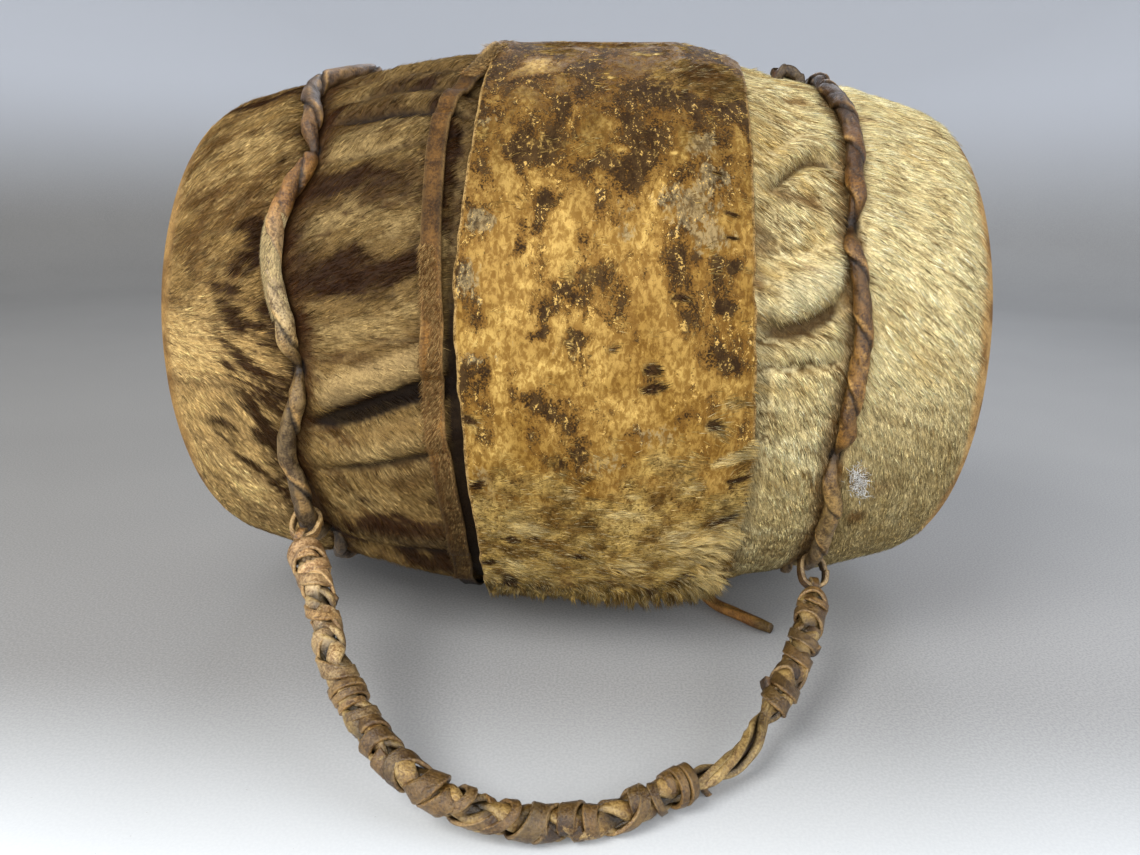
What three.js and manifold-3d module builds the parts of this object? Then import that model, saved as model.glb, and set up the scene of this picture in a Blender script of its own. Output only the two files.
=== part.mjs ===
// Kebero: a double-headed hide drum that lies on its side, with a stiff wrapped carrying strap.
//
// Millimetres. X runs along the drum, -Y is the front and +Z is up. The origin lies on the flat that is
// worn on the underside of the centre band. An angle called a turn is measured about the drum's axis,
// from straight down and rising at the front, so the front is at a quarter turn and the top at a half.

import * as THREE from 'three';
import { mergeVertices } from 'three/addons/utils/BufferGeometryUtils.js';
import Module from 'manifold-3d';

const wasm = await Module();
wasm.setup();

const degree = Math.PI / 180;
const quarterTurn = 90 * degree;
const fullTurn = 360 * degree;

// Drum
const drumLength = 376;
const bellyDiameter = 300;
const restWidth = 44;
const seatGap = 0.3;

// Wooden shell
const shellWall = 11;
const mouthDiameter = 176;

// Head hides
const hideThickness = 2.6;
const pleatHeight = 5;
const brownHemPlace = -14;
const creamHemPlace = 36;

// Centre band
const bandPlace = 18.5;
const bandWidth = 123;
const bandThickness = 4;
const bandEdgeThickness = 2.6;
const bandGap = 0.5;
const bandRightDrop = 8.2;
const bandLeftDrop = 1.4;
const bandEdgeWander = 1.8;

// Thong that draws the two hides together under the band
const drawThongWidth = 6;
const drawThongThickness = 2.2;
const drawThongWaves = 12;
const hemMargin = 11;

// Flat girth thong beside the band
const girthWidth = 9.5;
const girthThickness = 2;

// Lacing thongs, stitched in and out of each hide
const lacingDiameter = 7.6;
const lacingPlace = 120.5;
const lacingSeat = 0.6;
const leftLacingWander = 5;
const rightLacingWander = 2;
const leftLacingDrift = 14;
const stitches = 8;

// Anchor rings on the lacing thongs, and the strap's eyes that hang in them
const ringThongDiameter = 3.4;
const ringGap = 0.6;
const eyeThongDiameter = 3.4;
const eyeGap = 0.6;

// Strap
const strapReach = 125.5;
const strapDiameter = 8.4;
const strapNeckDiameter = 4.4;
const strapNeckLength = 20;
const strapGroundGap = 0.6;

// Thong wound round the strap
const wrapThickness = 1.5;
const wrapSeat = 0.35;
const leastTurnGap = 0.4;

// End of the draw thong on the ground, and end of the right lacing on top
const tailDiameter = 5.5;
const tailSeatLength = 7;
const tailLength = 45;
const endLoopHeight = 7;
const endLoopSpan = 13;
const endLoopDiameter = 5;

// What follows from those sizes
const halfLength = drumLength / 2;
const bellyRadius = bellyDiameter / 2;
const mouthRadius = mouthDiameter / 2;
const axisHeight = Math.sqrt(bellyRadius ** 2 - (restWidth / 2) ** 2);
const restTurn = Math.asin(restWidth / bellyDiameter);
const bandInside = bellyRadius - bandThickness;
const drawThongRadius = bandInside - bandGap - drawThongThickness / 2;
const hideBelly = bandInside - bandGap - drawThongThickness - seatGap;
const bandLeft = bandPlace - bandWidth / 2;
const bandRight = bandPlace + bandWidth / 2;
const lacingRadius = lacingDiameter / 2;

// Outline of the hides from the middle to one end: places along the axis as shares of the half
// length, and radii as shares of the belly's radius. The shell inside needs fewer of the places.
const outlinePlaceShares = [0, 0.16, 0.293, 0.426, 0.51, 0.585, 0.65, 0.75, 0.835, 0.915, 0.963, 0.99, 1];
const outlineRadiusShares = [
  1, 0.999, 0.994, 0.967, 0.934, 0.911, 0.902, 0.887, 0.86, 0.825, 0.785, 0.735, 0.68,
];

const insidePlaceShares = [0, 0.293, 0.426, 0.51, 0.585, 0.75, 0.835, 0.915, 0.963, 1];

function between(low, high, share) {
  return low + (high - low) * share;
}

function interpolate(places, values, at) {
  if (at <= places[0]) {
    return values[0];
  }
  for (let i = 1; i < places.length; i += 1) {
    if (at <= places[i]) {
      return between(values[i - 1], values[i], (at - places[i - 1]) / (places[i] - places[i - 1]));
    }
  }
  return values[values.length - 1];
}

// A smooth bump that is 1 at its centre and 0 from one half width away, on a circle of turns.
function bump(turn, centre, halfWidth) {
  const apart = Math.abs(Math.atan2(Math.sin(turn - centre), Math.cos(turn - centre)));
  return apart < halfWidth ? Math.cos((apart / halfWidth) * quarterTurn) ** 2 : 0;
}

function hideRadius(x) {
  return hideBelly * interpolate(outlinePlaceShares, outlineRadiusShares, Math.abs(x) / halfLength);
}

function ringPoint(x, radius, turn) {
  return new THREE.Vector3(x, -radius * Math.sin(turn), axisHeight - radius * Math.cos(turn));
}

function outwardAt(turn) {
  return new THREE.Vector3(0, -Math.sin(turn), -Math.cos(turn));
}

// Turns shared by the shell, the hides and the band, with one at each edge of the worn flat.
const ringSteps = 54;
const ringTurns = [0];
for (let i = 0; i < ringSteps - 1; i += 1) {
  ringTurns.push(restTurn + ((fullTurn - 2 * restTurn) * i) / (ringSteps - 2));
}

// A closed mesh whose faces point out: if its signed volume is negative, every face is turned.
function solidGeometry(points, faces) {
  let volume = 0;
  for (const [a, b, c] of faces) {
    volume += points[a].dot(new THREE.Vector3().crossVectors(points[b], points[c]));
  }
  const index = faces.flatMap(([a, b, c]) => (volume < 0 ? [a, c, b] : [a, b, c]));
  const geometry = new THREE.BufferGeometry();
  geometry.setAttribute('position', new THREE.Float32BufferAttribute(points.flatMap((p) => p.toArray()), 3));
  geometry.setIndex(index);
  return geometry;
}

// A solid round the drum's axis. Each row gives a place and radius at every turn; a row that is a
// number is a pole on the axis. Without poles the rows close on themselves, as a hoop does.
function revolve(rows, turns = ringTurns) {
  const points = [];
  const starts = [];
  for (const row of rows) {
    starts.push(points.length);
    if (typeof row === 'number') {
      points.push(new THREE.Vector3(row, 0, axisHeight));
    } else {
      turns.forEach((turn) => points.push(ringPoint(...row(turn), turn)));
    }
  }
  const faces = [];
  const lastRow = typeof rows[0] === 'number' ? rows.length - 1 : rows.length;
  for (let i = 0; i < lastRow; i += 1) {
    const j = (i + 1) % rows.length;
    for (let k = 0; k < turns.length; k += 1) {
      const next = (k + 1) % turns.length;
      const here = typeof rows[i] === 'number' ? [starts[i], starts[i]] : [starts[i] + k, starts[i] + next];
      const there = typeof rows[j] === 'number' ? [starts[j], starts[j]] : [starts[j] + k, starts[j] + next];
      if (here[0] !== here[1]) {
        faces.push([here[0], here[1], there[0]]);
      }
      if (there[0] !== there[1]) {
        faces.push([here[1], there[1], there[0]]);
      }
    }
  }
  return solidGeometry(points, faces);
}

// A section carried along a path. At each point the section stands square to the path, with its
// second direction towards the given outward one. A path that is not closed gets flat ends.
function sweep(path, outwards, sectionAt, closed = false) {
  const count = path.length;
  const points = [];
  for (let i = 0; i < count; i += 1) {
    const before = path[closed ? (i + count - 1) % count : Math.max(i - 1, 0)];
    const after = path[closed ? (i + 1) % count : Math.min(i + 1, count - 1)];
    const along = new THREE.Vector3().subVectors(after, before).normalize();
    const out = outwards[i].clone().addScaledVector(along, -outwards[i].dot(along)).normalize();
    const across = new THREE.Vector3().crossVectors(along, out);
    for (const [a, b] of sectionAt(i)) {
      points.push(path[i].clone().addScaledVector(across, a).addScaledVector(out, b));
    }
  }
  const sides = points.length / count;
  const faces = [];
  for (let i = 0; i < (closed ? count : count - 1); i += 1) {
    const j = (i + 1) % count;
    for (let k = 0; k < sides; k += 1) {
      const next = (k + 1) % sides;
      faces.push([i * sides + k, i * sides + next, j * sides + k]);
      faces.push([i * sides + next, j * sides + next, j * sides + k]);
    }
  }
  if (!closed) {
    const last = (count - 1) * sides;
    for (let k = 1; k < sides - 1; k += 1) {
      faces.push([0, k + 1, k]);
      faces.push([last, last + k, last + k + 1]);
    }
  }
  return solidGeometry(points, faces);
}

function roundSection(radius, sides) {
  return Array.from({ length: sides }, (unused, k) => {
    const angle = (fullTurn * (k + 1 / 2)) / sides;
    return [radius * Math.cos(angle), radius * Math.sin(angle)];
  });
}

// A flat thong with worn edges: six sides, the two cut edges half as thick as the middle.
const thongShoulderShare = 0.36;
function flatSection(width, thickness) {
  const side = width / 2;
  const shoulder = width * thongShoulderShare;
  const half = thickness / 2;
  return [[side, 0], [shoulder, half], [-shoulder, half], [-side, 0], [-shoulder, -half], [shoulder, -half]];
}

function toManifold(geometry) {
  const bare = geometry.clone();
  bare.deleteAttribute('normal');
  bare.deleteAttribute('uv');
  const merged = mergeVertices(bare);
  return new wasm.Manifold(new wasm.Mesh({
    numProp: 3,
    vertProperties: Float32Array.from(merged.attributes.position.array),
    triVerts: Uint32Array.from(merged.index.array),
  }));
}

function fromManifold(solid) {
  const mesh = solid.getMesh();
  const geometry = new THREE.BufferGeometry();
  geometry.setAttribute('position', new THREE.BufferAttribute(mesh.vertProperties, 3));
  geometry.setIndex(new THREE.BufferAttribute(mesh.triVerts, 1));
  return geometry;
}

const drum = new THREE.Group();
const strap = new THREE.Group();
drum.add(strap);

function addPiece(group, name, geometry, colour, roughness) {
  const material = new THREE.MeshStandardMaterial({ color: colour, roughness, metalness: 0 });
  const mesh = new THREE.Mesh(geometry, material);
  mesh.name = name;
  group.add(mesh);
  return mesh;
}

// Pleats of each skirt between its lacing and the band. Those in front stand where they show; the ones
// behind follow at an even pitch.
const frontPleats = {
  left: [
    { turn: 157, halfWidth: 8, heightShare: 0.6 },
    { turn: 143, halfWidth: 8, heightShare: 0.6 },
    { turn: 126, halfWidth: 9, heightShare: 0.4 },
    { turn: 104, halfWidth: 9, heightShare: 0.5 },
    { turn: 84, halfWidth: 8, heightShare: 1 },
    { turn: 45, halfWidth: 10, heightShare: 0.6 },
  ],
  right: [
    { turn: 134, halfWidth: 8, heightShare: 0.7 },
    { turn: 106, halfWidth: 11, heightShare: 1 },
    { turn: 88, halfWidth: 7, heightShare: 0.5 },
    { turn: 48, halfWidth: 9, heightShare: 0.4 },
  ],
};
const backPleatPitch = 21;
const backPleatHalfWidth = 9;
const backPleatHeightShare = 0.5;
const pleatStartShares = { left: 0.31, right: 0.44 };
const pleatFullShares = { left: 0.39, right: 0.48 };
const pleatFadeShare = 0.54;
const pleatEndShare = 0.605;

function pleatsOf(end) {
  const pleats = [...frontPleats[end]];
  for (let turn = 180; turn < 360; turn += backPleatPitch) {
    pleats.push({ turn, halfWidth: backPleatHalfWidth, heightShare: backPleatHeightShare });
  }
  return pleats;
}

function pleatLift(end, pleats, x, turn) {
  const places = [pleatStartShares[end], pleatFullShares[end], pleatFadeShare, pleatEndShare];
  const fade = interpolate(places, [0, 1, 1, 0], Math.abs(x) / halfLength);
  const liftOf = (pleat) => pleat.heightShare * bump(turn, pleat.turn * degree, pleat.halfWidth * degree);
  const lifts = pleats.map(liftOf);
  return pleatHeight * fade * Math.max(...lifts);
}

const pleatsAt = { left: pleatsOf('left'), right: pleatsOf('right') };

function hideSurface(end, x, turn) {
  return hideRadius(x) + pleatLift(end, pleatsAt[end], x, turn);
}

// Lacing thongs. Each runs round its hide in stitches: between two holes it lies on the hide and
// wanders outwards, and at a hole it sinks through the hide. At its anchor it is pulled clear of the
// hide to let the anchor ring round it.
const ringRadius = lacingRadius + ringGap + ringThongDiameter / 2;
const pivotReach = lacingRadius + ringGap + eyeThongDiameter + eyeGap + ringThongDiameter / 2;
const lacingLift = ringThongDiameter + ringGap;
const stitchTurn = fullTurn / stitches;
const sinkHalfWidth = 8 * degree;
const liftHalfWidth = 12 * degree;
const calmHalfWidth = 22 * degree;
const driftHalfWidth = 15 * degree;
const lacingSteps = 72;
const lacingSides = 6;

const lacings = {
  left: {
    end: 'left',
    side: -1,
    holeTurn: 90 * degree,
    anchorTurn: 57 * degree,
    wander: leftLacingWander,
    drift: leftLacingDrift,
    driftTurn: 172 * degree,
  },
  right: {
    end: 'right',
    side: 1,
    holeTurn: 120 * degree,
    anchorTurn: 44 * degree,
    wander: rightLacingWander,
    drift: 0,
    driftTurn: 0,
  },
};

function lacingX(lacing, turn) {
  const calm = 1 - bump(turn, lacing.anchorTurn, calmHalfWidth);
  const wander = lacing.wander * Math.cos(stitches * (turn - lacing.holeTurn)) * calm;
  const drift = lacing.drift * bump(turn, lacing.driftTurn, driftHalfWidth);
  return lacing.side * (lacingPlace - wander - drift);
}

function lacingSink(lacing, turn) {
  const nearest = lacing.holeTurn + Math.round((turn - lacing.holeTurn) / stitchTurn) * stitchTurn;
  return (hideThickness + lacingSeat - seatGap) * bump(turn, nearest, sinkHalfWidth);
}

function lacingPoint(lacing, turn) {
  const x = lacingX(lacing, turn);
  const lift = lacingLift * bump(turn, lacing.anchorTurn, liftHalfWidth);
  const under = hideSurface(lacing.end, x - lacing.side * lacingRadius, turn);
  const radius = under + lacingSeat + lacingRadius + lift - lacingSink(lacing, turn);
  return ringPoint(x, radius, turn);
}

const lacingTurns = Array.from({ length: lacingSteps }, (unused, i) => (fullTurn * i) / lacingSteps);

function lacingGeometry(lacing) {
  const path = lacingTurns.map((turn) => lacingPoint(lacing, turn));
  const section = roundSection(lacingRadius, lacingSides);
  return sweep(path, lacingTurns.map(outwardAt), () => section, true);
}

// The holes of one lacing: the thong itself, a seat gap fatter, from the station before it sinks into
// the hide to the station after.
function lacingHoles(lacing) {
  const step = fullTurn / lacingSteps;
  const section = roundSection(lacingRadius + seatGap, lacingSides);
  return Array.from({ length: stitches }, (unused, stitch) => {
    const centre = lacing.holeTurn + stitch * stitchTurn;
    const first = Math.floor((centre - sinkHalfWidth) / step);
    const last = Math.ceil((centre + sinkHalfWidth) / step);
    const turns = Array.from({ length: last - first + 1 }, (nothing, i) => (first + i) * step);
    const path = turns.map((turn) => lacingPoint(lacing, turn));
    return toManifold(sweep(path, turns.map(outwardAt), () => section));
  });
}

// Draw thong. One flat thong waves round the belly under the band, through a slit in the hem of
// each hide at every crest, and so pulls the two hides towards each other.
const drawThongSteps = 96;
const drawThongLeft = brownHemPlace - hemMargin;
const drawThongRight = creamHemPlace + hemMargin;
const crestSinkShare = 0.93;

function drawThongPoint(turn) {
  const wave = Math.cos(drawThongWaves * turn);
  const x = between(drawThongLeft, drawThongRight, (1 + wave) / 2);
  const crest = Math.max(0, (Math.abs(wave) - crestSinkShare) / (1 - crestSinkShare));
  return ringPoint(x, drawThongRadius - hideThickness * Math.min(1, crest * 2), turn);
}

function drawThongGeometry(width, thickness) {
  const turns = Array.from({ length: drawThongSteps }, (unused, i) => (fullTurn * i) / drawThongSteps);
  const half = thickness / 2;
  const side = width / 2;
  const section = [[side, half], [-side, half], [-side, -half], [side, -half]];
  return sweep(turns.map(drawThongPoint), turns.map(outwardAt), () => section, true);
}

// Head hides. Each is a soaked skin drawn over one mouth of the shell: a flat head, a rounded rim,
// and a skirt that runs in under the band, pleated between the lacing and the band.
// Places of a skirt's outer rows as shares of the half length, from the rim in to the hem. Inside,
// the hide follows the shell, so its pleats are solid folds.
const outerRowShares = [1, 0.99, 0.963, 0.915, 0.835, 0.75, 0.65, 0.605, 0.54, 0.48, 0.426, 0.36, 0.293];
const innerLengthShare = (halfLength - hideThickness) / halfLength;

function hideGeometry(end, hem, cutters) {
  const side = end === 'left' ? -1 : 1;
  const outer = (x) => (turn) => [x, hideSurface(end, x, turn)];
  const inner = (x) => () => [x * innerLengthShare, hideRadius(x) - hideThickness];
  const inHem = (share) => side * share * halfLength * side > hem * side + hideThickness;
  const rows = [side * halfLength];
  outerRowShares.filter(inHem).forEach((share) => rows.push(outer(side * share * halfLength)));
  rows.push(outer(hem));
  rows.push(() => [hem, hideRadius(hem) - hideThickness]);
  insidePlaceShares.filter(inHem).forEach((share) => rows.push(inner(side * share * halfLength)));
  rows.push(side * halfLength * innerLengthShare);
  const cut = cutters.reduce((solid, cutter) => solid.subtract(cutter), toManifold(revolve(rows)));
  return fromManifold(cut);
}

// Wooden shell: one log, hollowed and open at both ends. It fills the hides with a seat gap. Its wall
// keeps its thickness as far as the shoulders, then the bore runs in to the mouths.
const boreShares = [0, 0.293, 0.51, 0.75];

function mirrored(shares, place) {
  const left = shares.slice(1).reverse().map((share) => place(-share * halfLength));
  return [...left, ...shares.map((share) => place(share * halfLength))];
}

function shellGeometry() {
  const lengthShare = (halfLength - hideThickness - seatGap) / halfLength;
  const end = halfLength * lengthShare;
  const outside = (x) => [x * lengthShare, hideRadius(x) - hideThickness - seatGap];
  const bore = (x) => [x * lengthShare, hideRadius(x) - hideThickness - seatGap - shellWall];
  const profile = [
    ...mirrored(insidePlaceShares, outside),
    [end, mouthRadius],
    ...mirrored(boreShares, bore).reverse(),
    [-end, mouthRadius],
  ];
  const turns = ringTurns.filter((turn, i) => i % 2 === 0);
  return revolve(profile.map((point) => () => point), turns);
}

// Centre band: a wide raw hide hoop, thinner at its edges, which wander a little. Its right edge
// follows the belly down, and its underside is worn flat where the drum lies.
const bandPlaceShares = [0, 0.09, 0.2, 0.73, 0.86, 0.95, 1];
const bandDropShares = [1, 0.5, 0, 0, 0.3, 0.72, 1];

function bandGeometry() {
  const wander = (turn) => bandEdgeWander * (Math.cos(3 * turn) + Math.sin(5 * turn) / 2);
  const rowAt = (share, i, depthAt) => (turn) => {
    const edge = Math.abs(2 * share - 1) ** 4;
    const drop = bandDropShares[i] * (share < 1 / 2 ? bandLeftDrop : bandRightDrop);
    const x = bandLeft + bandWidth * share + wander(turn) * edge;
    return [x, depthAt(bellyRadius - drop, edge, turn)];
  };
  const groundAt = (turn) => (Math.cos(turn) > 0 ? axisHeight / Math.cos(turn) : bellyRadius);
  const worn = (radius, edge, turn) => Math.min(radius, groundAt(turn));
  const inside = (radius, edge) => radius - between(bandThickness, bandEdgeThickness, edge);
  const outerRows = bandPlaceShares.map((share, i) => rowAt(share, i, worn));
  const innerRows = bandPlaceShares.map((share, i) => rowAt(share, i, inside));
  return revolve([...outerRows, ...innerRows.reverse()]);
}

// Girth thong: starts under the band at the top, comes out in front, runs down the front, round the
// underside and up the back, and ends on top beside its start. Its distance from the band's left edge
// is given in shares of its own width.
const girthTurns = [165, 150, 139, 125, 110, 92, 73, 60, 37, 0, -90, -150, -170];
const girthOffsetShares = [
  -0.67, 0.22, 1.21, 1.31, 1.21, 1.155, 0.955, 0.678, 0.778, 1.015, 1.015, 1.21, 1.41,
];
const girthSteps = 64;
const girthSeat = 0.35;

function girthGeometry() {
  const path = [];
  const outwards = [];
  for (let i = 0; i <= girthSteps; i += 1) {
    const turn = between(girthTurns[0], girthTurns[girthTurns.length - 1], i / girthSteps);
    const offset = interpolate(girthTurns.map((value) => -value), girthOffsetShares, -turn);
    const x = bandLeft - offset * girthWidth;
    const highest = hideRadius(x + girthWidth / 2);
    path.push(ringPoint(x, highest + girthSeat + girthThickness / 2, turn * degree));
    outwards.push(outwardAt(turn * degree));
  }
  const section = flatSection(girthWidth, girthThickness);
  return sweep(path, outwards, () => section);
}

// Hinge line of the strap: through the outermost point of both anchor rings.
const leftPivot = hingePoint(lacings.left);
const rightPivot = hingePoint(lacings.right);
const hingeSpan = leftPivot.distanceTo(rightPivot);
const hingeAxis = new THREE.Vector3().subVectors(rightPivot, leftPivot).normalize();

function hingePoint(lacing) {
  const centre = lacingPoint(lacing, lacing.anchorTurn);
  return centre.addScaledVector(outwardAt(lacing.anchorTurn), pivotReach);
}

// An anchor ring is a long link: round the lacing thong at its inner end, with room for the strap's
// eye at its outer end.
const ringHalfSteps = 8;
const ringSides = 8;

function anchorRing(lacing, pivot) {
  const out = outwardAt(lacing.anchorTurn);
  out.addScaledVector(hingeAxis, -out.dot(hingeAxis)).normalize();
  const through = new THREE.Vector3().crossVectors(hingeAxis, out);
  const bends = [
    { centreReach: -ringRadius, startAngle: 0 },
    { centreReach: -pivotReach, startAngle: 2 * quarterTurn },
  ];
  const path = [];
  for (const { centreReach, startAngle } of bends) {
    for (let i = 0; i <= ringHalfSteps; i += 1) {
      const angle = startAngle + (i / ringHalfSteps) * 2 * quarterTurn;
      const point = pivot.clone().addScaledVector(out, centreReach + ringRadius * Math.sin(angle));
      path.push(point.addScaledVector(hingeAxis, ringRadius * Math.cos(angle)));
    }
  }
  const section = roundSection(ringThongDiameter / 2, ringSides);
  return sweep(path, path.map(() => through), () => section, true);
}

// Strap. It lies in one plane with the hinge line, leaning out until its widest point rests just
// clear of the ground. Its route is in shares of the hinge span and of its reach.
const strapRouteShares = [
  [0.024, 0.1], [0.053, 0.216], [0.079, 0.34], [0.108, 0.471], [0.134, 0.564], [0.163, 0.657],
  [0.199, 0.757], [0.24, 0.838], [0.285, 0.904], [0.333, 0.954], [0.386, 0.985], [0.439, 0.999],
  [0.496, 1], [0.553, 0.98], [0.614, 0.935], [0.67, 0.877], [0.719, 0.819], [0.772, 0.757],
  [0.817, 0.68], [0.853, 0.587], [0.894, 0.464], [0.935, 0.317], [0.967, 0.178],
];
const widestShare = 0.53;
const eyeRadius = ringThongDiameter / 2 + eyeGap + eyeThongDiameter / 2;
const strapRadius = strapDiameter / 2;
const wrappedRadius = strapRadius + wrapSeat + wrapThickness;

const level = new THREE.Vector3(0, 0, 1).cross(hingeAxis).negate().normalize();
const upright = new THREE.Vector3().crossVectors(level, hingeAxis);
const hingeHeight = between(leftPivot.z, rightPivot.z, widestShare);
const leanSine = (hingeHeight - wrappedRadius - strapGroundGap) / (strapReach * upright.z);
const leanCosine = Math.sqrt(1 - leanSine ** 2);
const strapOut = level.clone().multiplyScalar(leanCosine).addScaledVector(upright, -leanSine);
const strapNormal = new THREE.Vector3().crossVectors(hingeAxis, strapOut);

function strapPlanePoint(along, out) {
  return leftPivot.clone().addScaledVector(hingeAxis, along).addScaledVector(strapOut, out);
}

const strapCurve = new THREE.CatmullRomCurve3([
  strapPlanePoint(0, eyeRadius),
  ...strapRouteShares.map(([along, out]) => strapPlanePoint(along * hingeSpan, out * strapReach)),
  strapPlanePoint(hingeSpan, eyeRadius),
]);
const curveDivisions = 400;
strapCurve.arcLengthDivisions = curveDivisions;
const strapLength = strapCurve.getLength();

function strapRadiusAt(place) {
  const fromEnd = Math.min(place, strapLength - place);
  const share = Math.min(1, fromEnd / strapNeckLength);
  return between(strapNeckDiameter, strapDiameter, Math.sin(share * quarterTurn)) / 2;
}

const strapSteps = 58;
const strapSides = 8;
const eyeSides = 8;
const eyeSteps = 16;

function eyeManifold(pivot) {
  const geometry = new THREE.TorusGeometry(eyeRadius, eyeThongDiameter / 2, eyeSides, eyeSteps);
  geometry.applyMatrix4(new THREE.Matrix4().makeBasis(strapOut, strapNormal, hingeAxis));
  geometry.translate(pivot.x, pivot.y, pivot.z);
  return toManifold(geometry);
}

function strapGeometry() {
  const path = strapCurve.getSpacedPoints(strapSteps);
  const sectionAt = (i) => roundSection(strapRadiusAt((strapLength * i) / strapSteps), strapSides);
  const core = toManifold(sweep(path, path.map(() => strapNormal), sectionAt));
  return fromManifold(core.add(eyeManifold(leftPivot)).add(eyeManifold(rightPivot)));
}

// Thong wound round the strap in short groups. Each group is one unbroken helix of flat thong.
const wraps = [
  { name: 'strap_wrap_1', atShare: 0.115, turns: 1.5, width: 5, pitch: 6.6, startTurn: 20 },
  { name: 'strap_wrap_2', atShare: 0.235, turns: 2, width: 3.4, pitch: 4.4, startTurn: 200 },
  { name: 'strap_wrap_3', atShare: 0.3, turns: 1.5, width: 6.2, pitch: 7.6, startTurn: 90 },
  { name: 'strap_wrap_4', atShare: 0.375, turns: 1.5, width: 6, pitch: 7.4, startTurn: 0 },
  { name: 'strap_wrap_5', atShare: 0.45, turns: 1.5, width: 5.6, pitch: 7.6, startTurn: 150 },
  { name: 'strap_wrap_6', atShare: 0.535, turns: 1.5, width: 5.6, pitch: 7, startTurn: 60 },
  { name: 'strap_wrap_7', atShare: 0.65, turns: 1.5, width: 3.2, pitch: 4.4, startTurn: 100 },
  { name: 'strap_wrap_8', atShare: 0.81, turns: 2, width: 4.6, pitch: 6.4, startTurn: 30 },
  { name: 'strap_wrap_9', atShare: 0.89, turns: 1.5, width: 5, pitch: 6.6, startTurn: 220 },
];
const wrapSteps = 24;

function wrapPath(wrap) {
  const count = Math.round(wrap.turns * wrapSteps);
  const path = [];
  const outwards = [];
  for (let i = 0; i <= count; i += 1) {
    const turned = i / wrapSteps;
    const place = strapLength * wrap.atShare + (turned - wrap.turns / 2) * wrap.pitch;
    const centre = strapCurve.getPointAt(place / strapLength);
    const along = strapCurve.getTangentAt(place / strapLength);
    const across = new THREE.Vector3().crossVectors(strapNormal, along);
    const angle = wrap.startTurn * degree + turned * fullTurn;
    const out = across.multiplyScalar(Math.cos(angle)).addScaledVector(strapNormal, Math.sin(angle));
    const radius = strapRadiusAt(place) + wrapSeat + wrapThickness / 2;
    path.push(centre.clone().addScaledVector(out, radius));
    outwards.push(out);
  }
  return { path, outwards };
}

// Least gap of a winding to itself: between points more than half a turn apart along it, less the
// thong's width, which lies along the strap there.
function turnGap(wrap, path) {
  let least = Infinity;
  for (let i = 0; i < path.length; i += 1) {
    for (let j = i + wrapSteps / 2; j < path.length; j += 1) {
      least = Math.min(least, path[i].distanceTo(path[j]) - wrap.width);
    }
  }
  return least;
}

function wrapGeometry(wrap) {
  const { path, outwards } = wrapPath(wrap);
  const gap = turnGap(wrap, path);
  console.log(`${wrap.name}: least gap between turns ${gap.toFixed(2)} mm, wanted over ${leastTurnGap}`);
  const section = flatSection(wrap.width, wrapThickness);
  return sweep(path, outwards, () => section);
}

// Tail: the end of the draw thong comes out below the band's right edge, runs on along the hide for its
// seat length, leaves the hide and lies on the ground.
const tailTurn = 19 * degree;
const tailSteps = 12;
const tailDropShare = 0.3;
const tailDropHeightShare = 0.35;
const tailFlatShare = 0.55;
const tailSides = 8;
const tailHeading = new THREE.Vector2(0.74, -0.67).normalize();

function tailGeometry() {
  const radius = tailDiameter / 2;
  const startX = bandRight + bandEdgeWander * 2 + radius;
  const slope = (hideRadius(startX) - hideRadius(startX + tailSeatLength)) / tailSeatLength;
  const stand = (radius + seatGap) * Math.hypot(1, slope);
  const onHide = (x) => ringPoint(x, hideRadius(x) + stand, tailTurn);
  const start = onHide(startX);
  const leave = onHide(startX + tailSeatLength);
  const groundZ = radius + seatGap;
  const onGround = (share, heightShare) => new THREE.Vector3(
    leave.x + tailHeading.x * tailLength * share,
    leave.y + tailHeading.y * tailLength * share,
    between(groundZ, leave.z, heightShare),
  );
  const curve = new THREE.CatmullRomCurve3([
    start,
    leave,
    onGround(tailDropShare, tailDropHeightShare),
    onGround(tailFlatShare, 0),
    onGround(1, 0),
  ]);
  const path = curve.getSpacedPoints(tailSteps);
  const section = roundSection(radius, tailSides);
  return sweep(path, path.map(() => outwardAt(tailTurn)), () => section);
}

// End of the right lacing: a short loop that stands up from the hide on top, on two straight legs.
const endLoopTurn = 170 * degree;
const endLoopSteps = 8;
const endLoopPlace = 105;
const endLegShare = 0.3;

function endLoopGeometry() {
  const radius = endLoopDiameter / 2;
  const leg = endLoopHeight * endLegShare;
  const footAt = (x) => hideSurface('right', x - radius, endLoopTurn) + seatGap;
  const left = endLoopPlace - endLoopSpan / 2;
  const right = endLoopPlace + endLoopSpan / 2;
  const path = [ringPoint(left, footAt(left), endLoopTurn)];
  for (let i = 0; i <= endLoopSteps; i += 1) {
    const share = i / endLoopSteps;
    const rise = (endLoopHeight - leg) * Math.sin(share * 2 * quarterTurn);
    const x = endLoopPlace - (endLoopSpan / 2) * Math.cos(share * 2 * quarterTurn);
    path.push(ringPoint(x, between(footAt(left), footAt(right), share) + leg + rise, endLoopTurn));
  }
  path.push(ringPoint(right, footAt(right), endLoopTurn));
  const section = roundSection(radius, tailSides);
  return sweep(path, path.map(() => new THREE.Vector3(0, 1, 0)), () => section);
}

const slit = drawThongGeometry(drawThongWidth + 2 * seatGap, drawThongThickness + 2 * seatGap);
const hemSlit = toManifold(slit);
const brownCuts = [...lacingHoles(lacings.left), hemSlit];
const creamCuts = [...lacingHoles(lacings.right), hemSlit];

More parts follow.
